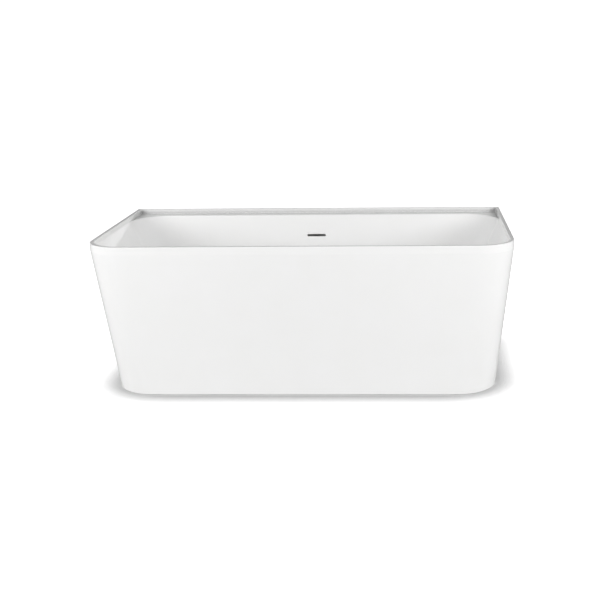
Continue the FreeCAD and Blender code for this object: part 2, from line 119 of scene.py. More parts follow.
def acrylic_sheet():
    """Polished cast acrylic: clean deep gloss, with the faint waviness of a drawn sheet and painted
    shade: its base colour is darkened in tight inside corners."""
    material, tree, place = new_material("polished_cast_acrylic")
    drawn_wave = add(tree, "TexNoise", {"Vector": place, "Scale": 1 / 0.120, "Detail": 1.0})
    polish = add(tree, "TexNoise", {"Vector": place, "Scale": 1 / 0.004, "Detail": 3.0})
    tone = add(tree, "Mix", {"Factor": drawn_wave.outputs["Fac"], "A": linear("f5f5f4"),
                             "B": linear("f7f7f7")}, data_type="RGBA")
    gloss = add(tree, "MapRange", {"Value": polish.outputs["Fac"], "To Min": 0.07, "To Max": 0.12})
    wave = add(tree, "Bump", {"Height": drawn_wave.outputs["Fac"], "Distance": 0.0006,
                              "Strength": 0.25})
    # painted shade: ambient occlusion within 30 mm darkens the base colour in tight inside corners
    # such as the rear deck
    nearby = add(tree, "AmbientOcclusion", {"Distance": 0.030}, samples=4, only_local=True)
    corner = add(tree, "MapRange", {"Value": nearby.outputs["AO"], "From Min": 0.35,
                                    "From Max": 0.95, "To Min": 0.38, "To Max": 1.0})
    shade = add(tree, "Mix", {"Factor": 1.0, "A": tone.outputs["Result"],
                              "B": corner.outputs["Result"]}, data_type="RGBA",
                blend_type="MULTIPLY")
    show(tree, add(tree, "BsdfPrincipled", {"Base Color": shade.outputs["Result"],
                                            "Roughness": gloss.outputs["Result"],
                                            "Normal": wave.outputs["Normal"], "IOR": 1.49}))
    return material


def skin(rings, closed_along=False, capped=False):
    """Quads between closed rings of equal count. closed_along joins the last ring to the
    first, and capped fills the two end rings."""
    points = [point for ring in rings for point in ring]
    count = len(rings[0])
    faces = []
    for k in range(len(rings) if closed_along else len(rings) - 1):
        start, following = k * count, (k + 1) % len(rings) * count
        for i in range(count):
            j = (i + 1) % count
            faces.append((start + i, start + j, following + j, following + i))
    if capped:
        faces.append(tuple(range(count)))
        faces.append(tuple(range(len(points) - count, len(points))))
    return points, faces


def together(shapes):
    """Several (points, faces) shapes as one."""
    points, faces = [], []
    for shape_points, shape_faces in shapes:
        start = len(points)
        points += shape_points
        faces += [tuple(start + i for i in face) for face in shape_faces]
    return points, faces


def mesh_object(name, shape):
    """An object from a (points, faces) shape, with doubled points merged."""
    mesh = bpy.data.meshes.new(name)
    mesh.from_pydata([tuple(point) for point in shape[0]], [], shape[1])
    work = bmesh.new()
    work.from_mesh(mesh)
    bmesh.ops.remove_doubles(work, verts=work.verts, dist=2e-6)
    bmesh.ops.recalc_face_normals(work, faces=work.faces)
    work.to_mesh(mesh)
    work.free()
    thing = bpy.data.objects.new(name, mesh)
    bpy.context.scene.collection.objects.link(thing)
    return thing


def cut(thing, tool_shape):
    """Cuts a shape out of an object."""
    tool = mesh_object("cutter", tool_shape)
    step = thing.modifiers.new("cut", "BOOLEAN")
    step.object = tool
    step.operation = "DIFFERENCE"
    step.solver = "EXACT"
    graph = bpy.context.evaluated_depsgraph_get()
    done = bpy.data.meshes.new_from_object(thing.evaluated_get(graph))
    thing.modifiers.clear()
    thing.data = done
    bpy.data.objects.remove(tool)


def finish_piece(thing, material, body, nodes, bend=35):
    """Smooth surfaces with crisp edges where they turn more than bend degrees; the object
    rides on the body and stands for its CAD nodes."""
    mesh = thing.data
    mesh.materials.clear()
    mesh.materials.append(material)
    for polygon in mesh.polygons:
        polygon.use_smooth = True
        polygon.material_index = 0
    mesh.set_sharp_from_angle(angle=math.radians(bend))
    weigh = thing.modifiers.new("even_shading", "WEIGHTED_NORMAL")
    weigh.keep_sharp = True
    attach(thing, body)
    if nodes:
        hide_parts(*nodes)
    return thing


def piece(name, shape, material, body, nodes, bend=35):
    """A finished visible piece straight from a shape."""
    return finish_piece(mesh_object(name, shape), material, body, nodes, bend)


def stations():
    """Places round the rim: (part of the outline, share along that part)."""
    rear_steps = (0, .08, .16, .24, .32, .40, .44, .47, .50, .53, .56, .60, .68, .76, .84, .92)
    places = [("front", k / 20) for k in range(20)]
    places += [("front_right", k / 20) for k in range(20)]
    places += [("right", k / 10) for k in range(10)]
    places += [("rear_right", t) for t in rear_steps]
    places += [("rear", k / 20) for k in range(20)]
    places += [("rear_left", t) for t in rear_steps]
    places += [("left", k / 10) for k in range(10)]
    places += [("front_left", k / 20) for k in range(20)]
    return places


STATIONS = stations()
STRAIGHT_SHARE = 0.44


def rear_corner(t, half_x, rear_y, start_x, start_y, radius):
    """Rear right corner: along the side, round the radius, then along the rear."""
    side = rear_y - radius - start_y
    rear = half_x - radius - start_x
    edge = STRAIGHT_SHARE if side + rear > 1e-6 else 0.0
    if t < edge:
        return Vector((half_x, start_y + side * t / edge))
    if t > 1 - edge:
        return Vector((start_x + rear * (1 - t) / edge, rear_y))
    turn = math.radians(90) * (t - edge) / (1 - 2 * edge)
    return Vector((half_x - radius + radius * math.cos(turn),
                   rear_y - radius + radius * math.sin(turn)))


def plan(place, half_x, front_y, rear_y, front_radius, start_x, start_y, rear_radius):
    """The plan point of one station on a loop with round front corners."""
    part, t = place
    if part == "left":
        low = front_y + front_radius
        return Vector((-half_x, start_y + (low - start_y) * t))
    if part == "right":
        low = front_y + front_radius
        return Vector((half_x, low + (start_y - low) * t))
    if part == "front":
        return Vector(((2 * t - 1) * (half_x - front_radius), front_y))
    if part == "rear":
        return Vector(((1 - 2 * t) * start_x, rear_y))
    flip = part.endswith("left")
    share = 1 - t if flip else t
    if part.startswith("front"):
        turn = math.radians(90) * share
        spot = Vector((half_x - front_radius + front_radius * math.sin(turn),
                       front_y + front_radius - front_radius * math.cos(turn)))
    else:
        spot = rear_corner(share, half_x, rear_y, start_x, start_y, rear_radius)
    return Vector((-spot.x, spot.y)) if flip else spot


def rim_ring(inset, z):
    """The rim outline moved inwards by inset: round in front, nearly square at the wall."""
    radius = max(TRIMMED_CORNER - inset * 0.1, 0.002)
    ring = []
    for place in STATIONS:
        spot = plan(place, HALF_LENGTH - inset, inset - HALF_WIDTH, HALF_WIDTH - inset,
                    RIM_CORNER - inset, CORNER_START_X, CORNER_START_Y, radius)
        ring.append(Vector((spot.x, spot.y, z)))
    return ring


def foot_curve(lean, radius, share):
    """(outward run, height) on the curve from a leaning wall to the floor, from their corner."""
    reach = radius * math.tan((math.radians(90) - lean) / 2)
    turn = lean + (math.radians(90) - lean) * share
    return radius * math.cos(turn) - reach, radius - radius * math.sin(turn)


BOWL_SPANS = (HALF_LENGTH - LIP_WIDTH - FLOOR_HALF_LENGTH,
              HALF_WIDTH - LIP_WIDTH + FLOOR_FRONT_Y,
              BASIN_REAR_Y - FLOOR_REAR_Y)


def facing(place):
    """How much a station faces along X, and which span (front or rear) it has along Y."""
    part, t = place
    span = 1 if part.startswith("front") else 2
    if part in ("front", "rear"):
        return 0.0, span
    if part in ("left", "right"):
        return 1.0, span
    rising = part in ("front_right", "rear_left")
    return math.sin(math.radians(90) * (t if rising else 1 - t)) ** 2, span


def bowl_ring(grow, share, curve=None):
    """A loop on the basin grown outwards: share 0 at the edge, 1 at the foot of the wall;
    curve is the share of the way round the foot curve to the floor."""
    drop = DECK_Z - FLOOR_Z + grow
    outs = []
    for span in BOWL_SPANS:
        lean = math.atan(span / (DECK_Z - FLOOR_Z))
        out, height = foot_curve(lean, FLOOR_EDGE + grow, curve or 0)
        if curve is None:
            height += (drop - height) * (1 - share)
            out = span * height / drop
        outs.append((out, height))
    rise = outs[0][1] / drop
    shrink = FLOOR_CORNER_PINCH * (curve or 0) - grow
    front_corner = FLOOR_CORNER + (RIM_CORNER - LIP_WIDTH - FLOOR_CORNER) * rise - shrink
    rear_turn = FLOOR_CORNER + (BASIN_REAR_CORNER - FLOOR_CORNER) * rise - shrink
    half_x = FLOOR_HALF_LENGTH + outs[0][0] + grow
    front_y = FLOOR_FRONT_Y - outs[1][0] - grow
    rear_y = FLOOR_REAR_Y + outs[2][0] + grow
    ring = []
    for place in STATIONS:
        spot = plan(place, half_x, front_y, rear_y, front_corner,
                    half_x - rear_turn, rear_y - rear_turn, rear_turn)
        along_x, span = facing(place)
        height = outs[0][1] * along_x + outs[span][1] * (1 - along_x)
        ring.append(Vector((spot.x, spot.y, FLOOR_Z - grow + height)))
    return ring


def rear_wall_y(z, grow):
    """Y of the basin's rear wall at height z, grown outwards."""
    share = (z - FLOOR_Z + grow) / (DECK_Z - FLOOR_Z + grow)
    return FLOOR_REAR_Y + grow + BOWL_SPANS[2] * share


def drain_ring(radius, z):
    """A circle round the drain with one point for each station, in the same order."""
    ring = []
    for spot in bowl_ring(0, 1, 1):
        turn = math.atan2(spot.y - DRAIN_Y, spot.x)
        ring.append(Vector((radius * math.cos(turn), DRAIN_Y + radius * math.sin(turn), z)))
    return ring


def between(ring, other, steps):
    """Rings on the way from one ring to another, both left out."""
    shares = [k / steps for k in range(1, steps)]
    return [[a.lerp(b, share) for a, b in zip(ring, other)] for share in shares]


def soften(path, reaches):
    """Points round the corners of a path, each corner averaged over its own reach."""
    lengths = [0.0]
    for a, b in zip(path, path[1:]):
        lengths.append(lengths[-1] + (b - a).length)

    def at(s):
        for k in range(len(path) - 1):
            if s <= lengths[k + 1] or k == len(path) - 2:
                run = lengths[k + 1] - lengths[k]
                share = (s - lengths[k]) / run if run > 1e-9 else 0.0
                return path[k].lerp(path[k + 1], min(max(share, 0.0), 1.0))

    smooth = []
    for k, reach in reaches.items():
        before = (lengths[k] - lengths[k - 1]) / 2
        after = (lengths[k + 1] - lengths[k]) / 2
        for step in (-1, -.66, -.33, 0, .33, .66, 1):
            s = lengths[k] + max(min(step * reach, after), -before)
            total = Vector((0, 0, 0))
            for j in range(9):
                total += at(s + reach * (j - 4) / 4.5)
            smooth.append(total / 9)
    return smooth


def basin_rings():
    """Loops of the shell from the lip's trimmed edge over the top, down, and back outside."""
    corners = [rim_ring(0, RIM_Z - LIP_DROP), rim_ring(0, RIM_Z), rim_ring(LIP_WIDTH, RIM_Z),
               rim_ring(LIP_WIDTH, DECK_Z), bowl_ring(0, 0), bowl_ring(0, 0.25)]
    reaches = {1: 0.0024, 2: 0.0022, 3: 0.0045, 4: 0.0045}
    rounded = [soften(path, reaches) for path in zip(*corners)]
    rings = [corners[0]] + [list(ring) for ring in zip(*rounded)]
    rings += [bowl_ring(0, k / 8) for k in range(1, 8)]
    rings += [bowl_ring(0, 1, k / 12) for k in range(13)]
    seat = drain_ring(DRAIN_SEAT, FLOOR_Z)
    rings += between(rings[-1], seat, 6)
    rings += [seat, drain_ring(DRAIN_HOLE, FLOOR_Z), drain_ring(DRAIN_HOLE, FLOOR_Z - SHEET)]
    under = [bowl_ring(SHEET, 1, k / 12) for k in range(12, -1, -1)]
    rings += between(rings[-1], under[0], 5) + under
    rings += [bowl_ring(SHEET, k / 8) for k in range(7, 0, -1)]
    edge = [Vector((point.x, point.y, DECK_Z - SHEET)) for point in bowl_ring(SHEET, 0.012)]
    inner = LIP_WIDTH - SHEET
    rings += [edge, rim_ring(inner, DECK_Z - SHEET), rim_ring(inner, RIM_Z - SHEET),
              rim_ring(SHEET, RIM_Z - SHEET), rim_ring(SHEET, RIM_Z - LIP_DROP)]
    return rings


def overflow_slot(depth_from, depth_to, flare):
    """Long slot with round ends, square to the rear wall; flared where the depth is 0."""
    lean = math.atan(BOWL_SPANS[2] / (DECK_Z - FLOOR_Z))
    outwards = Vector((0, math.cos(lean), -math.sin(lean)))
    upwards = Vector((0, math.sin(lean), math.cos(lean)))
    middle = Vector((0, rear_wall_y(SLOT_Z, 0), SLOT_Z))
    rings = []
    for depth, grow in [(depth_from, flare * 2), (0, flare), (0.0004, flare * 0.35),
                        (0.0012, 0), (depth_to, 0)]:
        ring = []
        for k in range(48):
            turn = math.radians(7.5 * (k + 0.5))
            side = math.copysign(SLOT_HALF_LENGTH - SLOT_HALF_HEIGHT, math.cos(turn))
            radius = SLOT_HALF_HEIGHT + grow
            ring.append(middle + outwards * depth + Vector((side + radius * math.cos(turn), 0, 0))
                        + upwards * (radius * math.sin(turn)))
        rings.append(ring)
    return skin(rings, capped=True)


acrylic = acrylic_sheet()
basin = mesh_object("basin_shell_sheet", skin(basin_rings(), closed_along=True))
cut(basin, overflow_slot(*SLOT_CUT, SLOT_FLARE))
finish_piece(basin, acrylic, "tub", ["basin_shell"], bend=50)


# ------------------------------------------------------------ fibreglass backing
# Chopped glass strands and polyester resin sprayed on the back of the basin and
# rolled down by hand. It stops in a ragged line below the rim.

BACKING = 0.004
BACKING_TOP_Z = 0.520


def rolled_fibreglass():
    """Cured polyester with glass strands lying every way: dull with wetter shiny patches."""
    material, tree, place = new_material("rolled_fibreglass")
    strands = None
    for turn, tip in ((0.2, 0.1), (1.25, 0.9), (2.3, -0.7)):
        lie = add(tree, "Mapping", {"Vector": place, "Rotation": (tip, tip * 0.6, turn),
                                    "Scale": (30.0, 420.0, 420.0)})
        fibre = add(tree, "TexNoise", {"Vector": lie.outputs["Vector"], "Scale": 1.0,
                                       "Detail": 2.0, "Distortion": 0.6})
        edge = add(tree, "MapRange", {"Value": fibre.outputs["Fac"], "From Min": 0.55,
                                      "From Max": 0.68})
        if strands is None:
            strands = edge.outputs["Result"]
        else:
            strands = add(tree, "Math", {0: strands, 1: edge.outputs["Result"]},
                          operation="MAXIMUM").outputs["Value"]
    resin = add(tree, "TexNoise", {"Vector": place, "Scale": 1 / 0.060, "Detail": 4.0})
    body = add(tree, "Mix", {"Factor": resin.outputs["Fac"], "A": linear("c9cac2"),
                             "B": linear("dcdcd4")}, data_type="RGBA")
    tone = add(tree, "Mix", {"Factor": strands, "A": body.outputs["Result"],
                             "B": linear("ecebe4")}, data_type="RGBA")
    wet = add(tree, "MapRange", {"Value": resin.outputs["Fac"], "From Min": 0.35, "From Max": 0.65,
                                 "To Min": 0.30, "To Max": 0.55})
    relief = add(tree, "Bump", {"Height": strands, "Distance": 0.0007, "Strength": 0.8})
    show(tree, add(tree, "BsdfPrincipled", {"Base Color": tone.outputs["Result"],
                                            "Roughness": wet.outputs["Result"],
                                            "Normal": relief.outputs["Normal"], "IOR": 1.55}))
    return material


def backing_rings():
    """Loops from the top edge down the outside and under the floor, then back up inside."""
    outer = SHEET + BACKING
    drop = DECK_Z - FLOOR_Z + outer
    top = (DECK_Z - BACKING_TOP_Z) / drop
    rings = []
    for k in range(17):
        share = top + (1 - top) * k / 16
        rings.append(bowl_ring(outer, share))
    rings += [bowl_ring(outer, 1, k / 10) for k in range(1, 11)]
    hole = drain_ring(DRAIN_HOLE, FLOOR_Z - outer)
    rings += between(rings[-1], hole, 10) + [hole]
    ragged = []
    for ring in rings:
        moved = []
        for spot in ring:
            lump = noise.noise(spot * 28) * 0.5 + noise.noise(spot * 9)
            inwards = Vector((-spot.x, -spot.y, 0)).normalized()
            moved.append(spot + inwards * (0.0008 * max(lump, 0)))
        ragged.append(moved)
    for spot in ragged[0]:
        spot.z -= 0.004 * (0.5 + 0.5 * noise.noise(spot * 31))
    back = [drain_ring(DRAIN_HOLE, FLOOR_Z - SHEET - 0.0002)]
    inner = SHEET + 0.0002
    under = [bowl_ring(inner, 1, k / 10) for k in range(10, -1, -1)]
    back += between(back[0], under[0], 6) + under
    back += [bowl_ring(inner, top + (1 - top) * k / 8) for k in range(7, -1, -1)]
    return ragged + back


backing = mesh_object("fibreglass_layer", skin(backing_rings(), closed_along=True))
cut(backing, overflow_slot(*SLOT_CUT, SLOT_FLARE))
finish_piece(backing, rolled_fibreglass(), "tub", ["fibreglass_backing"], bend=50)


# ------------------------------------------------------ base board and rim batten
# Birch plywood, sawn and then glassed to the basin: a board under the floor that
# carries the weight, and a strip under the rear deck that keeps the rim straight.

BOARD_LOW_Z = 0.127
BOARD_TOP_Z = 0.142
BOARD_CENTRE_Y = -0.030
BOARD_HALF_LENGTH = 0.470
BOARD_HALF_WIDTH = 0.200
BOARD_CORNER = 0.060
BOARD_HOLE = 0.032
BATTEN_HALF_LENGTH = 0.600
BATTEN_BACK_Y = 0.369
BATTEN_LOW_Z = 0.527
BATTEN_TOP_Z = 0.545
SAWN_EDGE = 0.0008


def birch_plywood():
    """Sawn birch plywood: pale veneers laid crosswise, seen as stripes along cut edges."""
    material, tree, place = new_material("sawn_birch_plywood")
    height = add(tree, "SeparateXYZ", {"Vector": place}).outputs["Z"]
    plies = add(tree, "Math", {0: height, 1: 1 / 0.0015}, operation="MULTIPLY")
    ply = add(tree, "Math", {0: plies.outputs["Value"]}, operation="FLOOR")
    crosswise = add(tree, "Math", {0: ply.outputs["Value"], 1: 2.0}, operation="MODULO")
    glue = add(tree, "Math", {0: plies.outputs["Value"]}, operation="FRACT")
    glue_line = add(tree, "Math", {0: glue.outputs["Value"], 1: 0.10}, operation="LESS_THAN")
    grains = []
    for scale in ((9.0, 260.0, 260.0), (260.0, 9.0, 260.0)):
        stretch = add(tree, "Mapping", {"Vector": place, "Scale": scale})
        grains.append(add(tree, "TexNoise", {"Vector": stretch.outputs["Vector"], "Scale": 1.0,
                                             "Detail": 5.0, "Roughness": 0.62}))
    grain = add(tree, "Mix", {"Factor": crosswise.outputs["Value"], "A": grains[0].outputs["Fac"],
                              "B": grains[1].outputs["Fac"]}, data_type="FLOAT")
    streak = add(tree, "MapRange", {"Value": grain.outputs["Result"], "From Min": 0.32,
                                    "From Max": 0.70})
    wood = add(tree, "Mix", {"Factor": streak.outputs["Result"], "A": linear("b98f5e"),
                             "B": linear("e0c79b")}, data_type="RGBA")
    end_grain = add(tree, "Mix", {"Factor": crosswise.outputs["Value"],
                                  "A": wood.outputs["Result"], "B": linear("a67b4b")},
                    data_type="RGBA", blend_type="MULTIPLY")
    tone = add(tree, "Mix", {"Factor": glue_line.outputs["Value"],
                             "A": end_grain.outputs["Result"], "B": linear("6d4a2b")},
               data_type="RGBA")
    relief = add(tree, "Bump", {"Height": grain.outputs["Result"], "Distance": 0.0003,
                                "Strength": 0.6})
    show(tree, add(tree, "BsdfPrincipled", {"Base Color": tone.outputs["Result"],
                                            "Roughness": 0.62,
                                            "Normal": relief.outputs["Normal"]}))
    return material


def rounded_rectangle(half_a, half_b, radius, steps=6):
    """Flat loop of (a, b) points with round corners, anticlockwise."""
    loop = []
    for quarter, (side_a, side_b) in enumerate(((1, 1), (-1, 1), (-1, -1), (1, -1))):
        for k in range(steps + 1):
            turn = math.radians(90) * (quarter + k / steps)
            loop.append((side_a * (half_a - radius) + radius * math.cos(turn),
                         side_b * (half_b - radius) + radius * math.sin(turn)))
    return loop


def board_shape():
    """Board with softened edges and the waste hole."""
    rings = []
    for inset, z in ((SAWN_EDGE, BOARD_LOW_Z), (0, BOARD_LOW_Z + SAWN_EDGE),
                     (0, BOARD_TOP_Z - SAWN_EDGE), (SAWN_EDGE, BOARD_TOP_Z - 0.0001)):
        loop = rounded_rectangle(BOARD_HALF_LENGTH - inset, BOARD_HALF_WIDTH - inset,
                                 BOARD_CORNER - inset, 10)
        rings.append([Vector((a, BOARD_CENTRE_Y + b, z)) for a, b in loop])
    for z in (BOARD_TOP_Z - 0.0001, BOARD_LOW_Z):
        ring = []
        for spot in rings[0]:
            turn = math.atan2(spot.y - DRAIN_Y, spot.x)
            ring.append(Vector((BOARD_HOLE * math.cos(turn),
                                DRAIN_Y + BOARD_HOLE * math.sin(turn), z)))
        rings.append(ring)
    return skin(rings, closed_along=True)


def batten_shape():
    """Strip with its front sawn to the slope of the rear wall."""
    rings = []
    for k in range(25):
        x = BATTEN_HALF_LENGTH * (k / 12 - 1)
        ease = 0.001 if k in (0, 24) else 0
        low, top = BATTEN_LOW_Z + ease, BATTEN_TOP_Z - 0.0002 - ease
        back = BATTEN_BACK_Y - 0.0021 - ease
        front_low, front_top = rear_wall_y(low, 0.008) + ease, rear_wall_y(top, 0.008) + ease
        rings.append([Vector((x, front_low + 0.001, low)), Vector((x, back - 0.001, low)),
                      Vector((x, back, low + 0.001)), Vector((x, back, top - 0.001)),
                      Vector((x, back - 0.001, top)), Vector((x, front_top, top)),
                      Vector((x, front_low, low + 0.001))])
    return skin(rings, capped=True)


plywood = birch_plywood()
piece("base_board_ply", board_shape(), plywood, "tub", ["base_board"])
piece("rim_batten_ply", batten_shape(), plywood, "tub", ["rim_batten"])


# ------------------------------------------------------------------ steel cradle
# Two rails and four cross tubes of 30 mm square steel tube, MIG welded and powder
# coated. Black plastic plugs close the rail ends. A nut is welded under each foot place,
# and a hole above it lets the stem up into the rail.

TUBE = 0.030
TUBE_WALL = 0.002
TUBE_CORNER = 0.0035
TUBE_INNER_CORNER = 0.0015
CRADLE_LOW_Z = 0.097
CRADLE_MIDDLE_Z = 0.112
RAIL_HALF_LENGTH = 0.630
FRONT_RAIL_Y = -0.190
REAR_RAIL_Y = 0.130
CROSS_TUBES = {"left": -0.340, "mid_left": -0.120, "mid_right": 0.120, "right": 0.340}
FOOT_PLACES = {"front_left": (-0.560, FRONT_RAIL_Y), "front_middle": (0.0, FRONT_RAIL_Y),
               "front_right": (0.560, FRONT_RAIL_Y), "rear_left": (-0.560, REAR_RAIL_Y),
               "rear_right": (0.560, REAR_RAIL_Y)}
WELD_NUT_Z = (0.087, 0.097)
NUT_FLATS = 0.019
NUT_FACE_SHARE = 0.96
NUT_BORE = 0.00606
STEM_HOLE = 0.007


def powder_coat():
    """Powder-coated steel: even grey with the fine orange peel of a baked coat."""
    material, tree, place = new_material("powder_coated_steel")
    peel = add(tree, "TexNoise", {"Vector": place, "Scale": 1 / 0.0022, "Detail": 1.0})
    cloud = add(tree, "TexNoise", {"Vector": place, "Scale": 1 / 0.090, "Detail": 3.0})
    tone = add(tree, "Mix", {"Factor": cloud.outputs["Fac"], "A": linear("7f8487"),
                             "B": linear("8f9497")}, data_type="RGBA")
    rough = add(tree, "MapRange", {"Value": cloud.outputs["Fac"], "To Min": 0.34, "To Max": 0.46})
    relief = add(tree, "Bump", {"Height": peel.outputs["Fac"], "Distance": 0.00012,
                                "Strength": 0.7})
    show(tree, add(tree, "BsdfPrincipled", {"Base Color": tone.outputs["Result"],
                                            "Roughness": rough.outputs["Result"],
                                            "Normal": relief.outputs["Normal"]}))
    return material


def zinc_plate():
    """Zinc-plated steel: pale metal with a cloudy, slightly blue passivated skin."""
    material, tree, place = new_material("zinc_plated_steel")
    cloud = add(tree, "TexNoise", {"Vector": place, "Scale": 1 / 0.005, "Detail": 4.0})
    tone = add(tree, "Mix", {"Factor": cloud.outputs["Fac"], "A": linear("a9adb0"),
                             "B": linear("cfd3d6")}, data_type="RGBA")
    rough = add(tree, "MapRange", {"Value": cloud.outputs["Fac"], "To Min": 0.28, "To Max": 0.48})
    show(tree, add(tree, "BsdfPrincipled", {"Base Color": tone.outputs["Result"],
                                            "Metallic": 1.0,
                                            "Roughness": rough.outputs["Result"]}))
    return material


def black_nylon():
    """Injection-moulded black nylon: satin, with a fine spark-eroded grain."""
    material, tree, place = new_material("moulded_black_nylon")
    grain = add(tree, "TexNoise", {"Vector": place, "Scale": 1 / 0.0008, "Detail": 2.0})
    wear = add(tree, "TexNoise", {"Vector": place, "Scale": 1 / 0.020, "Detail": 3.0})
    tone = add(tree, "Mix", {"Factor": wear.outputs["Fac"], "A": linear("17181a"),
                             "B": linear("26282a")}, data_type="RGBA")
    relief = add(tree, "Bump", {"Height": grain.outputs["Fac"], "Distance": 0.00006,
                                "Strength": 0.6})
    show(tree, add(tree, "BsdfPrincipled", {"Base Color": tone.outputs["Result"],
                                            "Roughness": 0.48,
                                            "Normal": relief.outputs["Normal"], "IOR": 1.53}))
    return material


def tube_shape(start, end, along):
    """Open square tube between two points, along "X" or "Y"."""
    def ring(at, half, radius):
        spots = []
        for a, b in rounded_rectangle(half, half, radius, 4):
            spots.append(at + (Vector((0, a, b)) if along == "X" else Vector((a, 0, b))))
        return spots

    outer, inner = TUBE / 2, TUBE / 2 - TUBE_WALL
    return skin([ring(start, outer, TUBE_CORNER), ring(end, outer, TUBE_CORNER),
                 ring(end, inner, TUBE_INNER_CORNER), ring(start, inner, TUBE_INNER_CORNER)],
                closed_along=True)


def stem_hole(x, y):
    """The round hole under a rail that lets a foot stem up into the tube."""
    rings = []
    for z in (CRADLE_LOW_Z - 0.001, CRADLE_LOW_Z + TUBE_WALL + 0.001):
        ring = []
        for k in range(32):
            turn = math.radians(360) * k / 32
            ring.append(Vector((x + STEM_HOLE * math.cos(turn), y + STEM_HOLE * math.sin(turn), z)))
        rings.append(ring)
    return skin(rings, capped=True)


def weld_bead(centre, half):
    """Rippled fillet of weld all round the end of a cross tube."""
    loop = []
    for a, b in rounded_rectangle(half + 0.0004, half + 0.0004, 0.004, 6):
        loop.append(Vector((a, 0, b)))
    path = []
    for a, b in zip(loop, loop[1:] + loop[:1]):
        steps = max(1, int((b - a).length / 0.0014))
        path += [a.lerp(b, k / steps) for k in range(steps)]
    rings = []
    for k, spot in enumerate(path):
        out = spot.normalized()
        swell = 0.0019 + 0.00045 * abs(math.sin(k * 1.05)) + 0.0002 * noise.noise(spot * 300)
        ring = []
        for j in range(8):
            turn = math.radians(45 * j)
            ring.append(centre + spot + out * (swell * math.cos(turn))
                        + Vector((0, swell * math.sin(turn), 0)))
        rings.append(ring)
    return skin(rings, closed_along=True)


def plug_shape(side, y):
    """Tube plug: a thin plate with soft edges and a spigot inside the rail."""
    rings = []
    for reach, half, radius in ((-0.012, 0.0116, 0.001), (-0.011, 0.0128, 0.0015),
                                (0.0, 0.0128, 0.0015), (0.0, 0.015, 0.0035),
                                (0.002, 0.015, 0.0035), (0.003, 0.0138, 0.003)):
        x = side * (RAIL_HALF_LENGTH + reach)
        rings.append([Vector((x, y + a, CRADLE_MIDDLE_Z + b))
                      for a, b in rounded_rectangle(half, half, radius, 4)])
    return skin(rings, capped=True)


def hexagon_rings(profile, x, y, flats):
    """Rings of a turned profile, (radius, z) pairs, trimmed to a hexagon across its flats."""
    rings = []
    for radius, z in profile:
        ring = []
        for k in range(48):
            turn = math.radians(7.5 * k)
            flat_turn = math.radians((7.5 * k + 30) % 60 - 30)
            reach = min(radius, flats / 2 / math.cos(flat_turn))
            ring.append(Vector((x + reach * math.cos(turn), y + reach * math.sin(turn), z)))
        rings.append(ring)
    return rings


def nut_shape(x, y, z0, z1):
    """Hexagon nut with both faces chamfered at 30 degrees."""
    face, corner = NUT_FLATS / 2 * NUT_FACE_SHARE, NUT_FLATS / 2 / math.cos(math.radians(30))
    slope = (corner - face) * math.tan(math.radians(30))
    profile = [(NUT_BORE, z0 + 0.0008), (NUT_BORE + 0.0008, z0), (face, z0)]
    for k in range(1, 5):
        profile.append((face + (corner - face) * k / 4, z0 + slope * k / 4))
    for k in range(4, -1, -1):
        profile.append((face + (corner - face) * k / 4, z1 - slope * k / 4))
    profile += [(NUT_BORE + 0.0008, z1), (NUT_BORE, z1 - 0.0008)]
    return skin(hexagon_rings(profile, x, y, NUT_FLATS), closed_along=True)


coated_steel = powder_coat()
zinc = zinc_plate()
nylon = black_nylon()
for name, y in (("rail_front", FRONT_RAIL_Y), ("rail_rear", REAR_RAIL_Y)):
    ends = [Vector((side * RAIL_HALF_LENGTH, y, CRADLE_MIDDLE_Z)) for side in (-1, 1)]
    rail = mesh_object(name + "_tube", tube_shape(*ends, "X"))
    for x, foot_y in FOOT_PLACES.values():
        if foot_y == y:
            cut(rail, stem_hole(x, y))
    finish_piece(rail, coated_steel, "tub", [name])

beads = []
for name, x in CROSS_TUBES.items():
    ends = [Vector((x, FRONT_RAIL_Y + TUBE / 2, CRADLE_MIDDLE_Z)),
            Vector((x, REAR_RAIL_Y - TUBE / 2, CRADLE_MIDDLE_Z))]
    piece("cross_tube_" + name + "_tube", tube_shape(*ends, "Y"), coated_steel, "tub",
          ["cross_tube_" + name])
    beads += [weld_bead(end, TUBE / 2) for end in ends]
piece("cradle_weld_beads", together(beads), coated_steel, "tub", [])

plugs = [plug_shape(side, y) for side in (-1, 1) for y in (FRONT_RAIL_Y, REAR_RAIL_Y)]
piece("rail_end_plugs", together(plugs), nylon, "tub", ["rail_end_caps"])

nuts = [nut_shape(x, y, *WELD_NUT_Z) for x, y in FOOT_PLACES.values()]
piece("weld_nuts", together(nuts), zinc, "tub", ["foot_weld_nuts"])


# ---------------------------------------------------------------- board screws
# Zinc-plated pan-head screws, driven up through the cross tubes into the board.

SCREW_ROWS = (-0.130, 0.070)
SCREW_HEAD_RADIUS = 0.006
SCREW_HEAD = 0.003
SCREW_SHANK = 0.0025
SCREW_TIP_Z = CRADLE_LOW_Z + 0.040


def turned(profile, centre=(0, 0, 0), way=(0, 0, 1), steps=64, closed_along=False):
    """A shape turned about an axis: profile is (radius, reach along the axis) pairs."""
    way = Vector(way)
    side = Vector((1, 0, 0))
    other = way.cross(side)
    rings = []
    for radius, reach in profile:
        ring = []
        for k in range(steps):
            turn = math.radians(360) * k / steps
            ring.append(Vector(centre) + way * reach + side * (radius * math.cos(turn))
                        + other * (radius * math.sin(turn)))
        rings.append(ring)
    return skin(rings, closed_along=closed_along)


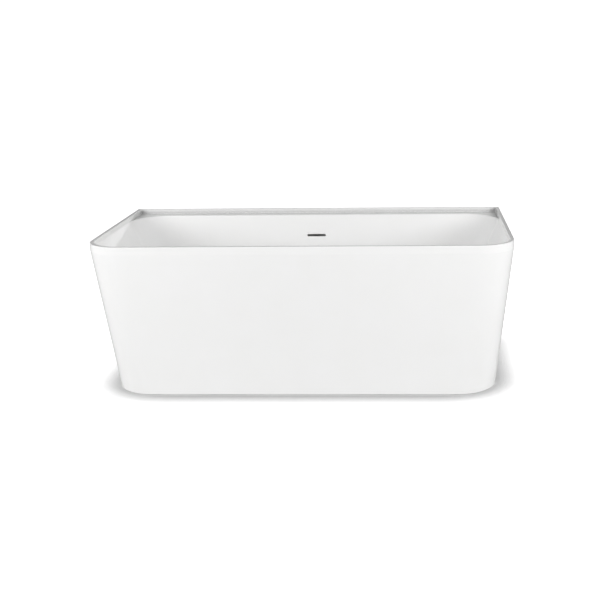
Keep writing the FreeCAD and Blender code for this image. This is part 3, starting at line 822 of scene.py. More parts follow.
def screw_with_recess():
    """One screw at the origin, head down, with a tapered cross recess."""
    low = CRADLE_LOW_Z - SCREW_HEAD
    profile = [(0, low), (0.0035, low + 0.00015), (0.0050, low + 0.0007), (0.0058, low + 0.0016),
               (SCREW_HEAD_RADIUS, low + 0.0024), (SCREW_HEAD_RADIUS, CRADLE_LOW_Z),
               (SCREW_SHANK, CRADLE_LOW_Z), (SCREW_SHANK, SCREW_TIP_Z - 0.002), (0, SCREW_TIP_Z)]
    screw = mesh_object("screw_blank", turned(profile, steps=32))
    for turn in (0, 90):
        spin = Matrix.Rotation(math.radians(turn), 4, "Z")
        slot = []
        for half_a, half_b, z in ((0.0030, 0.00055, low - 0.0005), (0.0016, 0.00045, low + 0.0018)):
            slot.append([spin @ Vector((a * half_a, b * half_b, z))
                         for a, b in ((1, 1), (-1, 1), (-1, -1), (1, -1))])
        cut(screw, skin(slot, capped=True))
    points = [vertex.co.copy() for vertex in screw.data.vertices]
    faces = [tuple(polygon.vertices) for polygon in screw.data.polygons]
    bpy.data.objects.remove(screw)
    return points, faces


screw_points, screw_faces = screw_with_recess()
screws = []
for x in CROSS_TUBES.values():
    for y in SCREW_ROWS:
        # each screw was driven until tight, so each recess stops at its own angle
        spin = Matrix.Rotation(x * 9 + y * 31, 4, "Z")
        screws.append(([spin @ spot + Vector((x, y, 0)) for spot in screw_points], screw_faces))
piece("board_screw_set", together(screws), zinc, "tub", ["board_screws"])


# ------------------------------------------------------------------- skirt panel
# Front and both ends are one formed acrylic sheet, 4 mm thick. It tapers towards the
# floor, turns 25 mm in at the wall, and its top tongue is bonded inside the lip.

SKIRT_GAP = 0.003
SKIRT_FOOT_X = 0.7095
SKIRT_FOOT_Y = -0.331
SKIRT_FOOT_CORNER = 0.1515
SKIRT_RETURN = 0.025
SKIRT_BACK_CORNER = 0.005
SKIRT_TOP_Z = RIM_Z - LIP_DROP
TONGUE_TOP_Z = 0.559


def skirt_shape_at(z):
    """Half length, front Y and corner radius of the skirt's outside at height z."""
    share = min((z - SKIRT_GAP) / (SKIRT_TOP_Z - SKIRT_GAP), 1.0)
    return (SKIRT_FOOT_X + (HALF_LENGTH - SKIRT_FOOT_X) * share,
            SKIRT_FOOT_Y + (-HALF_WIDTH - SKIRT_FOOT_Y) * share,
            SKIRT_FOOT_CORNER + (RIM_CORNER - SKIRT_FOOT_CORNER) * share)


def skirt_spot(part, t, inset, z):
    """A point on the right half of the skirt, inset from its outside."""
    half_x, front_y, radius = skirt_shape_at(z)
    if part == "return":
        free = half_x - SKIRT_RETURN
        return Vector((free + (SKIRT_RETURN - SKIRT_BACK_CORNER) * t, HALF_WIDTH - inset, z))
    if part == "back":
        turn = math.radians(90) * (1 - t)
        bend = SKIRT_BACK_CORNER - inset
        return Vector((half_x - SKIRT_BACK_CORNER + bend * math.cos(turn),
                       HALF_WIDTH - SKIRT_BACK_CORNER + bend * math.sin(turn), z))
    if part == "side":
        start, end = HALF_WIDTH - SKIRT_BACK_CORNER, front_y + radius
        return Vector((half_x - inset, start + (end - start) * t, z))
    if part == "corner":
        turn = math.radians(-90) * t
        bend = radius - inset
        return Vector((half_x - radius + bend * math.cos(turn),
                       front_y + radius + bend * math.sin(turn), z))
    return Vector(((half_x - radius) * (1 - t), front_y + inset, z))


def skirt_rings():
    """Closed profiles of the panel, from the left return round the front to the right one."""
    foot = SKIRT_GAP
    profile = [(0, foot + 0.0019), (0, 0.15), (0, 0.30), (0, 0.42), (0, SKIRT_TOP_Z),
               (0.0042, SKIRT_TOP_Z), (0.0042, TONGUE_TOP_Z - 0.001),
               (0.0050, TONGUE_TOP_Z), (0.0070, TONGUE_TOP_Z), (0.0078, TONGUE_TOP_Z - 0.001),
               (0.0078, SKIRT_TOP_Z), (0.0070, 0.534), (0.0050, 0.530), (0.004, 0.526),
               (0.004, 0.42), (0.004, 0.30), (0.004, 0.15), (0.004, foot + 0.0019),
               (0.00344, foot + 0.00056), (0.0021, foot), (0.0019, foot),
               (0.00056, foot + 0.00056)]
    plain = [(min(inset, 0.004), min(z, SKIRT_TOP_Z)) for inset, z in profile]
    worn = [(0.0011 + inset * 0.45, min(max(z, foot + 0.0011), SKIRT_TOP_Z - 0.0008))
            for inset, z in plain]
    places = [("return", 0, worn), ("return", 0.05, plain), ("return", 0.5, plain)]
    places += [("back", k / 6, plain) for k in range(7)]
    places += [("side", 0.004, plain), ("side", 0.004, profile)]
    places += [("side", k / 8, profile) for k in range(1, 8)]
    places += [("corner", k / 24, profile) for k in range(25)]
    places += [("front", k / 8, profile) for k in range(1, 9)]
    half = []
    for part, t, section in places:
        half.append([skirt_spot(part, t, inset, z) for inset, z in section])
    mirrored = [[Vector((-spot.x, spot.y, spot.z)) for spot in ring] for ring in half]
    return half + mirrored[-2::-1]


piece("skirt_panel_sheet", skin(skirt_rings(), capped=True), acrylic, "tub",
      ["skirt_panel"])


# --------------------------------------------------------------- skirt brackets
# Six galvanised strips, folded up where they meet the skirt and bonded to its inside.
# Each is held under a rail by one hexagon bolt through a round washer face.

BRACKET_HALF_WIDTH = 0.017
BRACKET_SHEET = 0.003
BRACKET_TAB_TOP_Z = 0.149
BRACKET_FOLD = 0.006
GLUE_GAP = 0.0003
END_BOLT_X = 0.608
FRONT_BRACKET_X = 0.300
BOLT_FLATS = 0.013
BOLT_FACE_SHARE = 0.95


def galvanised():
    """Hot-dip galvanised steel: dull zinc in flat crystals, each catching light its own way."""
    material, tree, place = new_material("galvanised_steel")
    crystals = add(tree, "TexVoronoi", {"Vector": place, "Scale": 1 / 0.007})
    tint = add(tree, "SeparateColor", {"Color": crystals.outputs["Color"]})
    cloud = add(tree, "TexNoise", {"Vector": place, "Scale": 1 / 0.030, "Detail": 4.0})
    tone = add(tree, "Mix", {"Factor": tint.outputs["Red"], "A": linear("8f9497"),
                             "B": linear("b9bec1")}, data_type="RGBA")
    rough = add(tree, "MapRange", {"Value": tint.outputs["Green"], "To Min": 0.36, "To Max": 0.58})
    relief = add(tree, "Bump", {"Height": cloud.outputs["Fac"], "Distance": 0.0002,
                                "Strength": 0.4})
    show(tree, add(tree, "BsdfPrincipled", {"Base Color": tone.outputs["Result"],
                                            "Metallic": 1.0,
                                            "Roughness": rough.outputs["Result"],
                                            "Normal": relief.outputs["Normal"]}))
    return material


def skirt_inside_x(y, z):
    """X of the skirt's inner face on the right at a place y, also round the front corner."""
    half_x, front_y, radius = skirt_shape_at(z)
    past = front_y + radius - y
    bend = radius - SHEET
    if past <= 0:
        return half_x - SHEET
    return half_x - radius + math.sqrt(bend ** 2 - past ** 2)


def bracket_shape(reach_of, start, across, place_of):
    """Folded strip: reach_of(across, z) is where the skirt's inside is, start its plain end."""
    low, top = CRADLE_LOW_Z - BRACKET_SHEET, CRADLE_LOW_Z
    fold, thin_fold = BRACKET_FOLD, BRACKET_FOLD - BRACKET_SHEET
    rings = []
    for k in range(9):
        share = k / 4 - 1
        side = across + share * BRACKET_HALF_WIDTH
        corner_cut = 0.003 * max(0, abs(share) - 0.74) / 0.26
        outer = [(start + corner_cut, low)]
        centre = reach_of(side, low + fold) - GLUE_GAP - fold
        for j in range(7):
            turn = math.radians(-90 + 15 * j)
            outer.append((centre + fold * math.cos(turn), low + fold + fold * math.sin(turn)))
        tab_top = BRACKET_TAB_TOP_Z - corner_cut
        tab_face = reach_of(side, tab_top) - GLUE_GAP
        outer.append((tab_face, tab_top))
        inner = [(tab_face - BRACKET_SHEET, tab_top)]
        for j in range(6, -1, -1):
            turn = math.radians(-90 + 15 * j)
            inner.append((centre + thin_fold * math.cos(turn),
                          low + fold + thin_fold * math.sin(turn)))
        inner.append((start + corner_cut, top - 0.0001))
        rings.append([place_of(reach, side, z) for reach, z in outer + inner])
    return skin(rings, capped=True)


def bolt_shape(x, y):
    """Hexagon bolt, head down, with a chamfered crown, a washer face and a plain shank."""
    top = CRADLE_LOW_Z - BRACKET_SHEET
    low = top - 0.0055
    face = BOLT_FLATS / 2 * BOLT_FACE_SHARE
    corner = BOLT_FLATS / 2 / math.cos(math.radians(30))
    slope = (corner - face) * math.tan(math.radians(30))
    profile = [(0, low + 0.0003), (face - 0.001, low + 0.0003), (face, low)]
    for k in range(1, 5):
        profile.append((face + (corner - face) * k / 4, low + slope * k / 4))
    profile += [(corner, top - 0.0005), (face, top - 0.0005), (face, top),
                (0.004, top), (0.004, top + 0.0120), (0.0033, top + 0.0125), (0, top + 0.0125)]
    return skin(hexagon_rings(profile, x, y, BOLT_FLATS))


steel_strip = galvanised()
for name, side in (("left", -1), ("right", 1)):
    for end_name, y in (("front", FRONT_RAIL_Y), ("rear", REAR_RAIL_Y)):
        strip = bracket_shape(skirt_inside_x, END_BOLT_X - 0.016, y,
                              lambda reach, across, z, side=side: Vector((side * reach, across, z)))
        piece("bracket_" + name + "_" + end_name + "_strip", strip, steel_strip, "tub",
              ["bracket_" + name + "_" + end_name])
    strip = bracket_shape(lambda across, z: -skirt_shape_at(z)[1] - SHEET,
                          -(FRONT_RAIL_Y + TUBE / 2), side * FRONT_BRACKET_X,
                          lambda reach, across, z: Vector((across, -reach, z)))
    piece("bracket_front_" + name + "_strip", strip, steel_strip, "tub",
          ["bracket_front_" + name])

bolt_places = [(side * FRONT_BRACKET_X, FRONT_RAIL_Y) for side in (-1, 1)]
bolt_places += [(side * END_BOLT_X, y) for side in (-1, 1) for y in (FRONT_RAIL_Y, REAR_RAIL_Y)]
piece("bracket_bolt_set", together([bolt_shape(x, y) for x, y in bolt_places]), zinc, "tub",
      ["bracket_bolts"])


# --------------------------------------------------------------- levelling feet
# Five M12 threaded stems in moulded nylon pads. Turning a stem in its weld nut sets
# the height, and the lock nut is then run up against the weld nut.

STEM_RADIUS = 0.006
STEM_Z = (0.008, 0.122)
THREAD_PITCH = 0.00175
THREAD_DEPTH = 0.0009
LOCK_NUT_Z = (0.079, 0.0868)


def thread_shape(x, y):
    """Stem with a real helical thread, plain and tapered at its top end."""
    low, top = STEM_Z
    profile_steps = 6
    count = int((top - 0.002 - low) / THREAD_PITCH * profile_steps)
    rings = [[Vector((x, y, low))] * 24]
    for k in range(count + 1):
        z = low + k * THREAD_PITCH / profile_steps
        ring = []
        for j in range(24):
            phase = (z / THREAD_PITCH - j / 24) % 1.0
            dip = THREAD_DEPTH * max(0.0, 1 - abs(phase - 0.5) / 0.42)
            turn = math.radians(15 * j)
            radius = STEM_RADIUS - dip
            ring.append(Vector((x + radius * math.cos(turn), y + radius * math.sin(turn), z)))
        rings.append(ring)
    for radius, z in ((STEM_RADIUS - THREAD_DEPTH, top - 0.0012), (0.0042, top), (0, top)):
        rings.append([Vector((x + radius * math.cos(math.radians(15 * j)),
                              y + radius * math.sin(math.radians(15 * j)), z)) for j in range(24)])
    return skin(rings)


def pad_shape(x, y):
    """Round pad with a grooved sole, a collar round the stem and twelve ribs."""
    profile = [(0, 0.0010), (0.0060, 0.0010), (0.0064, 0), (0.0095, 0), (0.0099, 0.0010),
               (0.0130, 0.0010), (0.0134, 0), (0.0170, 0), (0.0174, 0.0010), (0.0200, 0.0010),
               (0.0204, 0), (0.0243, 0), (0.0253, 0.0004), (0.0260, 0.0016), (0.0260, 0.0050),
               (0.0254, 0.0059), (0.0240, 0.0064), (0.0140, 0.0072), (0.0130, 0.0082),
               (0.0130, 0.0188), (0.0122, 0.0198), (0.0112, 0.0200), (0.0070, 0.0200),
               (0.0062, 0.0194), (0.0062, 0.0080), (0, 0.0080)]
    shapes = [turned(profile, (x, y, 0), steps=72)]
    for k in range(12):
        spin = Matrix.Rotation(math.radians(30 * k + 15), 4, "Z")
        rings = []
        for side in (-1, 1):
            ring = []
            for reach, z in ((0.0120, 0.0060), (0.0248, 0.0055), (0.0248, 0.0072), (0.0235, 0.0082),
                             (0.0145, 0.0165), (0.0120, 0.0175)):
                spot = spin @ Vector((reach, side * 0.0009, z))
                ring.append(spot + Vector((x, y, 0)))
            rings.append(ring)
        shapes.append(skin(rings, capped=True))
    return together(shapes)


for name, (x, y) in FOOT_PLACES.items():
    piece("stem_" + name, thread_shape(x, y), zinc, "foot_" + name,
          ["foot_stem_" + name], bend=80)
    piece("pad_" + name, pad_shape(x, y), nylon, "foot_" + name,
          ["foot_pad_" + name])
nuts = [nut_shape(x, y, *LOCK_NUT_Z) for x, y in FOOT_PLACES.values()]
piece("lock_nuts", together(nuts), zinc, "tub", ["foot_lock_nuts"])


# ------------------------------------------------------------- drain and plug
# A turned, chromed brass flange is clamped through the floor on a rubber seal. Its
# cross holds a brass cartridge, and the cap lifts and drops on a steel stem.

DRAIN = (0, DRAIN_Y, 0)
CROSS_Z = (0.123, 0.128)
CROSS_BAR_HALF_LENGTH = 0.0078
CROSS_BAR_HALF_WIDTH = 0.0015
CROSS_BAR_REACH = 0.0138


def chromed_brass():
    """Chromium plate on polished brass: nearly a mirror, with faint wiping marks."""
    material, tree, place = new_material("chromed_brass")
    wiped = add(tree, "Mapping", {"Vector": place, "Scale": (60.0, 900.0, 900.0)})
    marks = add(tree, "TexNoise", {"Vector": wiped.outputs["Vector"], "Scale": 1.0, "Detail": 3.0})
    cloud = add(tree, "TexNoise", {"Vector": place, "Scale": 1 / 0.012, "Detail": 2.0})
    tone = add(tree, "Mix", {"Factor": cloud.outputs["Fac"], "A": linear("d9dcdf"),
                             "B": linear("eceeef")}, data_type="RGBA")
    rough = add(tree, "MapRange", {"Value": marks.outputs["Fac"], "To Min": 0.03, "To Max": 0.12})
    show(tree, add(tree, "BsdfPrincipled", {"Base Color": tone.outputs["Result"],
                                            "Metallic": 1.0,
                                            "Roughness": rough.outputs["Result"]}))
    return material


def turned_metal(name, dark, light):
    """Bare turned metal: fine tool rings round the drain's axis, brighter on their crests."""
    material, tree, place = new_material(name)
    centred = add(tree, "Mapping", {"Vector": place, "Location": (0, -DRAIN_Y, 0)})
    # real tool rings are 0.1 mm apart; drawn at 0.5 mm so that they can be seen
    rings = add(tree, "TexWave", {"Vector": centred.outputs["Vector"], "Scale": 0.31 / 0.0005,
                                  "Distortion": 0.4}, wave_type="RINGS", rings_direction="Z")
    tone = add(tree, "Mix", {"Factor": rings.outputs["Fac"], "A": linear(dark),
                             "B": linear(light)}, data_type="RGBA")
    rough = add(tree, "MapRange", {"Value": rings.outputs["Fac"], "To Min": 0.30, "To Max": 0.20})
    show(tree, add(tree, "BsdfPrincipled", {"Base Color": tone.outputs["Result"],
                                            "Metallic": 1.0,
                                            "Roughness": rough.outputs["Result"]}))
    return material


def black_rubber():
    """Moulded EPDM rubber: matt black with a greyish bloom."""
    material, tree, place = new_material("moulded_epdm_rubber")
    bloom = add(tree, "TexNoise", {"Vector": place, "Scale": 1 / 0.006, "Detail": 5.0})
    tone = add(tree, "Mix", {"Factor": bloom.outputs["Fac"], "A": linear("141414"),
                             "B": linear("2c2c2b")}, data_type="RGBA")
    rough = add(tree, "MapRange", {"Value": bloom.outputs["Fac"], "To Min": 0.62, "To Max": 0.80})
    show(tree, add(tree, "BsdfPrincipled", {"Base Color": tone.outputs["Result"],
                                            "Roughness": rough.outputs["Result"], "IOR": 1.52}))
    return material


def ring_shape(outer, inner, z0, z1, soft, centre=DRAIN):
    """Flat ring with softened edges."""
    profile = [(inner, z0 + soft), (inner + soft, z0), (outer - soft, z0), (outer, z0 + soft),
               (outer, z1 - soft), (outer - soft, z1), (inner + soft, z1), (inner, z1 - soft)]
    return turned(profile, centre, closed_along=True)


def bar_shape(half_x, half_y, z0, z1):
    """Straight bar of the strainer cross with softened edges."""
    rings = []
    for inset, z in ((0.0005, z0), (0, z0 + 0.0005), (0, z1 - 0.0005), (0.0005, z1)):
        loop = rounded_rectangle(half_x - inset, half_y - inset, 0.0006, 3)
        rings.append([Vector((a, DRAIN_Y + b, z)) for a, b in loop])
    return skin(rings, capped=True)


def flange_shape():
    """Flange and tail in one, with the cross and its boss in the bore."""
    profile = [(0.0205, 0.0905), (0.0210, 0.090), (0.0236, 0.090), (0.0240, 0.0904),
               (0.0240, 0.1515), (0.0355, 0.1515), (0.0360, 0.1520)]
    for k in range(7):
        turn = math.radians(15 * k)
        profile.append((0.0342 + 0.0018 * math.cos(turn), 0.1527 + 0.0018 * math.sin(turn)))
    profile += [(0.0219, 0.1545), (0.0212, 0.1543), (0.0207, 0.1538), (0.0205, 0.1531)]
    boss = [(0.0050, 0.120), (0.0066, 0.120), (0.0070, 0.1204), (0.0070, 0.1276),
            (0.0066, 0.128), (0.0050, 0.128)]
    shapes = [turned(profile, DRAIN, steps=96, closed_along=True),
              turned(boss, DRAIN, steps=48, closed_along=True)]
    for side in (-1, 1):
        long_bar = bar_shape(CROSS_BAR_HALF_LENGTH, CROSS_BAR_HALF_WIDTH, *CROSS_Z)
        shapes.append(([spot + Vector((side * CROSS_BAR_REACH, 0, 0)) for spot in long_bar[0]],
                       long_bar[1]))
        cross_bar = bar_shape(CROSS_BAR_HALF_WIDTH, CROSS_BAR_HALF_LENGTH, *CROSS_Z)
        shapes.append(([spot + Vector((0, side * CROSS_BAR_REACH, 0)) for spot in cross_bar[0]],
                       cross_bar[1]))
    return together(shapes)


def cap_shape():
    """Plug cap: flat underside, thin rim, and a shallow dome of one radius."""
    low_z, rim_z, crown_z, radius = 0.1568, 0.1598, 0.1628, 0.031
    crown = crown_z - rim_z
    dome = (radius ** 2 + crown ** 2) / (2 * crown)
    profile = [(0, low_z), (radius - 0.0009, low_z), (radius - 0.0003, low_z + 0.0003),
               (radius, low_z + 0.0009), (radius, rim_z - 0.0008),
               (radius - 0.0002, rim_z - 0.0002)]
    for k in range(13):
        reach = (radius - 0.0008) * (1 - k / 12)
        profile.append((reach, crown_z - dome + math.sqrt(dome ** 2 - reach ** 2)))
    return turned(profile, DRAIN, steps=96)


chrome = chromed_brass()
rubber = black_rubber()
piece("drain_flange_body", flange_shape(), chrome, "tub", ["drain_flange"])
piece("drain_flange_gasket", ring_shape(0.035, 0.026, 0.150, 0.1515, 0.0004), rubber, "tub",
      ["drain_flange_seal"])
cartridge = [(0.00305, 0.120), (0.0046, 0.120), (0.0050, 0.1204), (0.0050, 0.128), (0.0074, 0.128),
             (0.0080, 0.1286), (0.0080, 0.1320), (0.0074, 0.1325), (0.0074, 0.1335),
             (0.0080, 0.1340), (0.0080, 0.1412), (0.0072, 0.142), (0.0036, 0.142),
             (0.00305, 0.1414)]
piece("plug_cartridge_body", turned(cartridge, DRAIN, steps=48, closed_along=True),
      turned_metal("turned_brass", "b08a43", "d9b56c"), "tub", ["plug_cartridge"])
stem = [(0, 0.122), (0.0025, 0.122), (0.0030, 0.1225), (0.0030, 0.1575), (0, 0.1575)]
piece("plug_stem_rod", turned(stem, DRAIN, steps=32),
      turned_metal("turned_stainless_steel", "9fa2a4", "c6c9ca"), "drain_plug",
      ["plug_stem"])
piece("plug_cap_dome", cap_shape(), chrome, "drain_plug", ["plug_cap"])
piece("plug_seal_ring", ring_shape(0.029, 0.022, 0.1548, 0.1568, 0.0006), rubber, "drain_plug",
      ["plug_seal"])


# ------------------------------------------------------------ waste pipes
# Moulded and extruded white PVC: the tee under the drain, the crossover to the elbow
# and the overflow pipe. Hand nuts squeeze a rubber washer at each of the five joints.

PIPE_RADIUS = 0.01905
PIPE_BORE = 0.01705
SOCKET_RADIUS = 0.024
SOCKET_BORE = 0.0193
WASTE_Z = 0.074
OVERFLOW_Y = 0.342
BOX_LOW_Z = 0.428
NUT_RIB_CIRCLE = 0.0282
NUT_RIB = 0.0018
HAND_NUT = 0.028
ELBOW_TOP_Z = 0.112
TEE_OUTLET_Z = 0.034
BOX_OUTLET_Z = 0.404
CROSSOVER_START_Y = 0.004
CROSSOVER_LENGTH = 0.312
OVERFLOW_PIPE_LOW_Z = 0.096
OVERFLOW_PIPE_LENGTH = 0.332


def white_pvc():
    """Moulded rigid PVC: cool white, satin, with soft flow marks in the gloss."""
    material, tree, place = new_material("moulded_white_pvc")
    flow = add(tree, "TexNoise", {"Vector": place, "Scale": 1 / 0.025, "Detail": 2.0,
                                  "Distortion": 1.2})
    grain = add(tree, "TexNoise", {"Vector": place, "Scale": 1 / 0.0012, "Detail": 2.0})
    tone = add(tree, "Mix", {"Factor": flow.outputs["Fac"], "A": linear("dfe1e0"),
                             "B": linear("ebecea")}, data_type="RGBA")
    rough = add(tree, "MapRange", {"Value": flow.outputs["Fac"], "To Min": 0.26, "To Max": 0.40})
    relief = add(tree, "Bump", {"Height": grain.outputs["Fac"], "Distance": 0.00004,
                                "Strength": 0.5})
    show(tree, add(tree, "BsdfPrincipled", {"Base Color": tone.outputs["Result"],
                                            "Roughness": rough.outputs["Result"],
                                            "Normal": relief.outputs["Normal"], "IOR": 1.53}))
    return material


def pipe_shape(start, way, reach):
    """Plain pipe with cut ends eased on the outside."""
    ease = 0.0006
    profile = [(PIPE_BORE, 0), (PIPE_RADIUS - ease, 0), (PIPE_RADIUS, ease),
               (PIPE_RADIUS, reach - ease), (PIPE_RADIUS - ease, reach), (PIPE_BORE, reach)]
    return turned(profile, start, way, closed_along=True)


def tee_shape():
    """Body under the board with its clamping flange, the outlet socket and the side inlet."""
    body = [(SOCKET_BORE, TEE_OUTLET_Z), (0.0233, TEE_OUTLET_Z), (0.0240, 0.0347), (0.0240, 0.0480),
            (0.0244, 0.0492), (0.0256, 0.0500), (0.0276, 0.0500), (0.0287, 0.0506),
            (0.0290, 0.0516), (0.0290, 0.1170), (0.0294, 0.1182), (0.0304, 0.1190),
            (0.0363, 0.1190), (0.0370, 0.1196), (0.0370, 0.1234), (0.0363, 0.1240),
            (0.0242, 0.1240), (0.0242, 0.0540), (SOCKET_BORE, 0.0540)]
    inlet = [(SOCKET_BORE, 0.0260), (0.0256, 0.0260), (0.0247, 0.0295), (SOCKET_RADIUS, 0.0330),
             (SOCKET_RADIUS, 0.0593), (0.0233, 0.0600), (SOCKET_BORE, 0.0600)]
    return together([turned(body, DRAIN, steps=72, closed_along=True),
                     turned(inlet, (0, DRAIN_Y, WASTE_Z), (0, 1, 0), 72, True)])


def elbow_shape():
    """Bend from the crossover up to the overflow pipe, one socket at each end."""
    bend = 0.0245
    path = [(Vector((0, 0.270, WASTE_Z)), 0)]
    for k in range(13):
        turn = math.radians(7.5 * k)
        path.append((Vector((0, OVERFLOW_Y - bend + bend * math.sin(turn),
                             WASTE_Z + bend - bend * math.cos(turn))), turn))
    path.append((Vector((0, OVERFLOW_Y, ELBOW_TOP_Z)), math.radians(90)))
    rings = []
    for radius, order in ((SOCKET_RADIUS, path), (SOCKET_BORE, path[::-1])):
        for centre, turn in order:
            up = Vector((0, -math.sin(turn), math.cos(turn)))
            rings.append([centre + Vector((radius * math.cos(math.radians(5 * k)), 0, 0))
                          + up * (radius * math.sin(math.radians(5 * k))) for k in range(72)])
    return skin(rings, closed_along=True)


def nut_ring(start, way, radius, reach, ribbed):
    """One loop of a hand nut; ribbed adds the twelve grip ribs."""
    way = Vector(way)
    side = Vector((1, 0, 0))
    other = way.cross(side)
    ring = []
    for k in range(144):
        turn = math.radians(2.5 * k)
        out = radius
        off = math.radians((2.5 * k + 15) % 30 - 15)
        across = NUT_RIB_CIRCLE * math.sin(off)
        if ribbed and abs(across) < NUT_RIB:
            crest = NUT_RIB_CIRCLE * math.cos(off) + math.sqrt(NUT_RIB ** 2 - across ** 2)
            out = radius - HAND_NUT + crest
        ring.append(start + way * reach + side * (out * math.cos(turn))
                    + other * (out * math.sin(turn)))
    return ring


def hand_nut_shape(mouth, way):
    """Ribbed nut that grips the socket and closes round the pipe."""
    start = Vector(mouth) - Vector(way) * 0.011
    profile = [(0.0268, 0.0001, False), (0.0276, 0.0006, True), (0.0280, 0.0016, True),
               (0.0280, 0.0150, True), (0.0272, 0.0162, True), (0.0255, 0.0170, False),
               (0.0200, 0.0170, False), (SOCKET_BORE, 0.0164, False), (SOCKET_BORE, 0.0135, False),
               (0.0241, 0.0135, False), (0.0241, 0.0001, False)]
    return skin([nut_ring(start, way, *step) for step in profile], closed_along=True)


JOINTS = {"tailpiece": ((0, DRAIN_Y, TEE_OUTLET_Z), (0, 0, -1)),
          "tee_inlet": ((0, DRAIN_Y + 0.060, WASTE_Z), (0, 1, 0)),
          "elbow_side": ((0, OVERFLOW_Y - 0.072, WASTE_Z), (0, -1, 0)),
          "elbow_top": ((0, OVERFLOW_Y, ELBOW_TOP_Z), (0, 0, 1)),
          "overflow_outlet": ((0, OVERFLOW_Y, BOX_OUTLET_Z), (0, 0, -1))}

pvc = white_pvc()
tail = [(PIPE_BORE, 0.004), (0.0185, 0.004), (PIPE_RADIUS, 0.0046), (PIPE_RADIUS, 0.0278),
        (0.0187, 0.0282), (0.0187, 0.0500), (PIPE_BORE, 0.0500)]
piece("tee_body", tee_shape(), pvc, "tub", ["drain_tee"])
piece("tee_gasket_ring", ring_shape(0.037, 0.030, 0.124, 0.127, 0.0005), rubber, "tub",
      ["drain_tee_gasket"])
piece("tailpiece_pipe", turned(tail, DRAIN, closed_along=True), pvc, "tub",
      ["tailpiece"])
crossover = pipe_shape((0, CROSSOVER_START_Y, WASTE_Z), (0, 1, 0), CROSSOVER_LENGTH)
piece("crossover_tube", crossover, pvc, "tub", ["crossover_pipe"])
riser = pipe_shape((0, OVERFLOW_Y, OVERFLOW_PIPE_LOW_Z), (0, 0, 1), OVERFLOW_PIPE_LENGTH)
piece("overflow_tube", riser, pvc, "tub", ["overflow_pipe"])
piece("elbow_bend", elbow_shape(), pvc, "tub", ["overflow_elbow"])
washers = []
for name, (mouth, way) in JOINTS.items():
    piece("hand_nut_" + name, hand_nut_shape(mouth, way), pvc, "tub",
          ["slip_nut_" + name])
    washers.append(turned([(0.0192, 0.0001), (0.0236, 0.0001), (0.0236, 0.0024), (0.0192, 0.0024)],
                          mouth, way, closed_along=True))
piece("joint_washers", together(washers), rubber, "tub", ["slip_washers"])


# ----------------------------------------------------------------- overflow box
# Moulded PVC box behind the slot, its open front cut to the slope of the basin wall,
# pulled up against it on a foam ring. The overflow pipe leaves underneath.

BOX_HALF_X = 0.052
BOX_TOP_Z = 0.502
BOX_BACK_Y = 0.368
BOX_SEAT = 0.0105
FOAM_FRONT = 0.0081
FOAM_BACK = 0.0104
FOAM_OUTER_INSET = 0.0003
FOAM_INNER_INSET = 0.0080


def box_loop(inset, back_y=None, grow=0.0):
    """Loop round the box: at back_y, or in front on the wall grown outwards by grow."""
    middle_z, half_z = (BOX_LOW_Z + BOX_TOP_Z) / 2, (BOX_TOP_Z - BOX_LOW_Z) / 2
    loop = rounded_rectangle(BOX_HALF_X - inset, half_z - inset, max(0.006 - inset, 0.002), 6)
    ring = []
    for a, b in loop:
        z = middle_z + b
        ring.append(Vector((a, rear_wall_y(z, grow) if back_y is None else back_y, z)))
    return ring


def box_shape():
    """Five-sided box with round edges, and the outlet socket under it."""
    seat = BOX_SEAT
    rings = [box_loop(0.0050, BOX_BACK_Y), box_loop(0.0018, BOX_BACK_Y - 0.0006),
             box_loop(0.0005, BOX_BACK_Y - 0.0020), box_loop(0, BOX_BACK_Y - 0.0045),
             box_loop(0, None, seat), box_loop(0.003, None, seat),
             box_loop(0.003, BOX_BACK_Y - 0.003)]
    outlet = [(SOCKET_BORE, 0.0), (0.0233, 0.0), (SOCKET_RADIUS, 0.0007), (SOCKET_RADIUS, 0.0225),
              (0.0244, 0.0236), (0.0258, 0.0243), (0.0258, 0.0265), (SOCKET_BORE, 0.0265)]
    return together([skin(rings, capped=True),
                     turned(outlet, (0, OVERFLOW_Y, BOX_OUTLET_Z), closed_along=True, steps=72)])


def closed_cell_foam():
    """Cut closed-cell foam: dark grey, dull, full of tiny open pores, with painted shade darkening
    the hollow of each pore.
    """
    material, tree, place = new_material("cut_closed_cell_foam")
    pores = add(tree, "TexVoronoi", {"Vector": place, "Scale": 1 / 0.0012})
    # painted shade: each pore's hollow centre is coloured darker than its rim
    tone = add(tree, "Mix", {"Factor": pores.outputs["Distance"], "A": linear("1b1b1c"),
                             "B": linear("3a3a3b")}, data_type="RGBA")
    relief = add(tree, "Bump", {"Height": pores.outputs["Distance"], "Distance": 0.0002,
                                "Strength": 0.8})
    show(tree, add(tree, "BsdfPrincipled", {"Base Color": tone.outputs["Result"],
                                            "Roughness": 0.85,
                                            "Normal": relief.outputs["Normal"]}))
    return material


piece("overflow_box_moulding", box_shape(), pvc, "tub", ["overflow_box"])
foam_rings = [box_loop(FOAM_OUTER_INSET, None, FOAM_BACK),
              box_loop(FOAM_OUTER_INSET, None, FOAM_FRONT),
              box_loop(FOAM_INNER_INSET, None, FOAM_FRONT),
              box_loop(FOAM_INNER_INSET, None, FOAM_BACK)]
piece("overflow_foam_ring", skin(foam_rings, closed_along=True), closed_cell_foam(), "tub",
      ["overflow_gasket"])


# ------------------------------------------------------------------ studio
# Plain white floor and surround, dim overhead light, two big soft boxes in front of
# the corners, well above the rim, and one weak strip light behind.

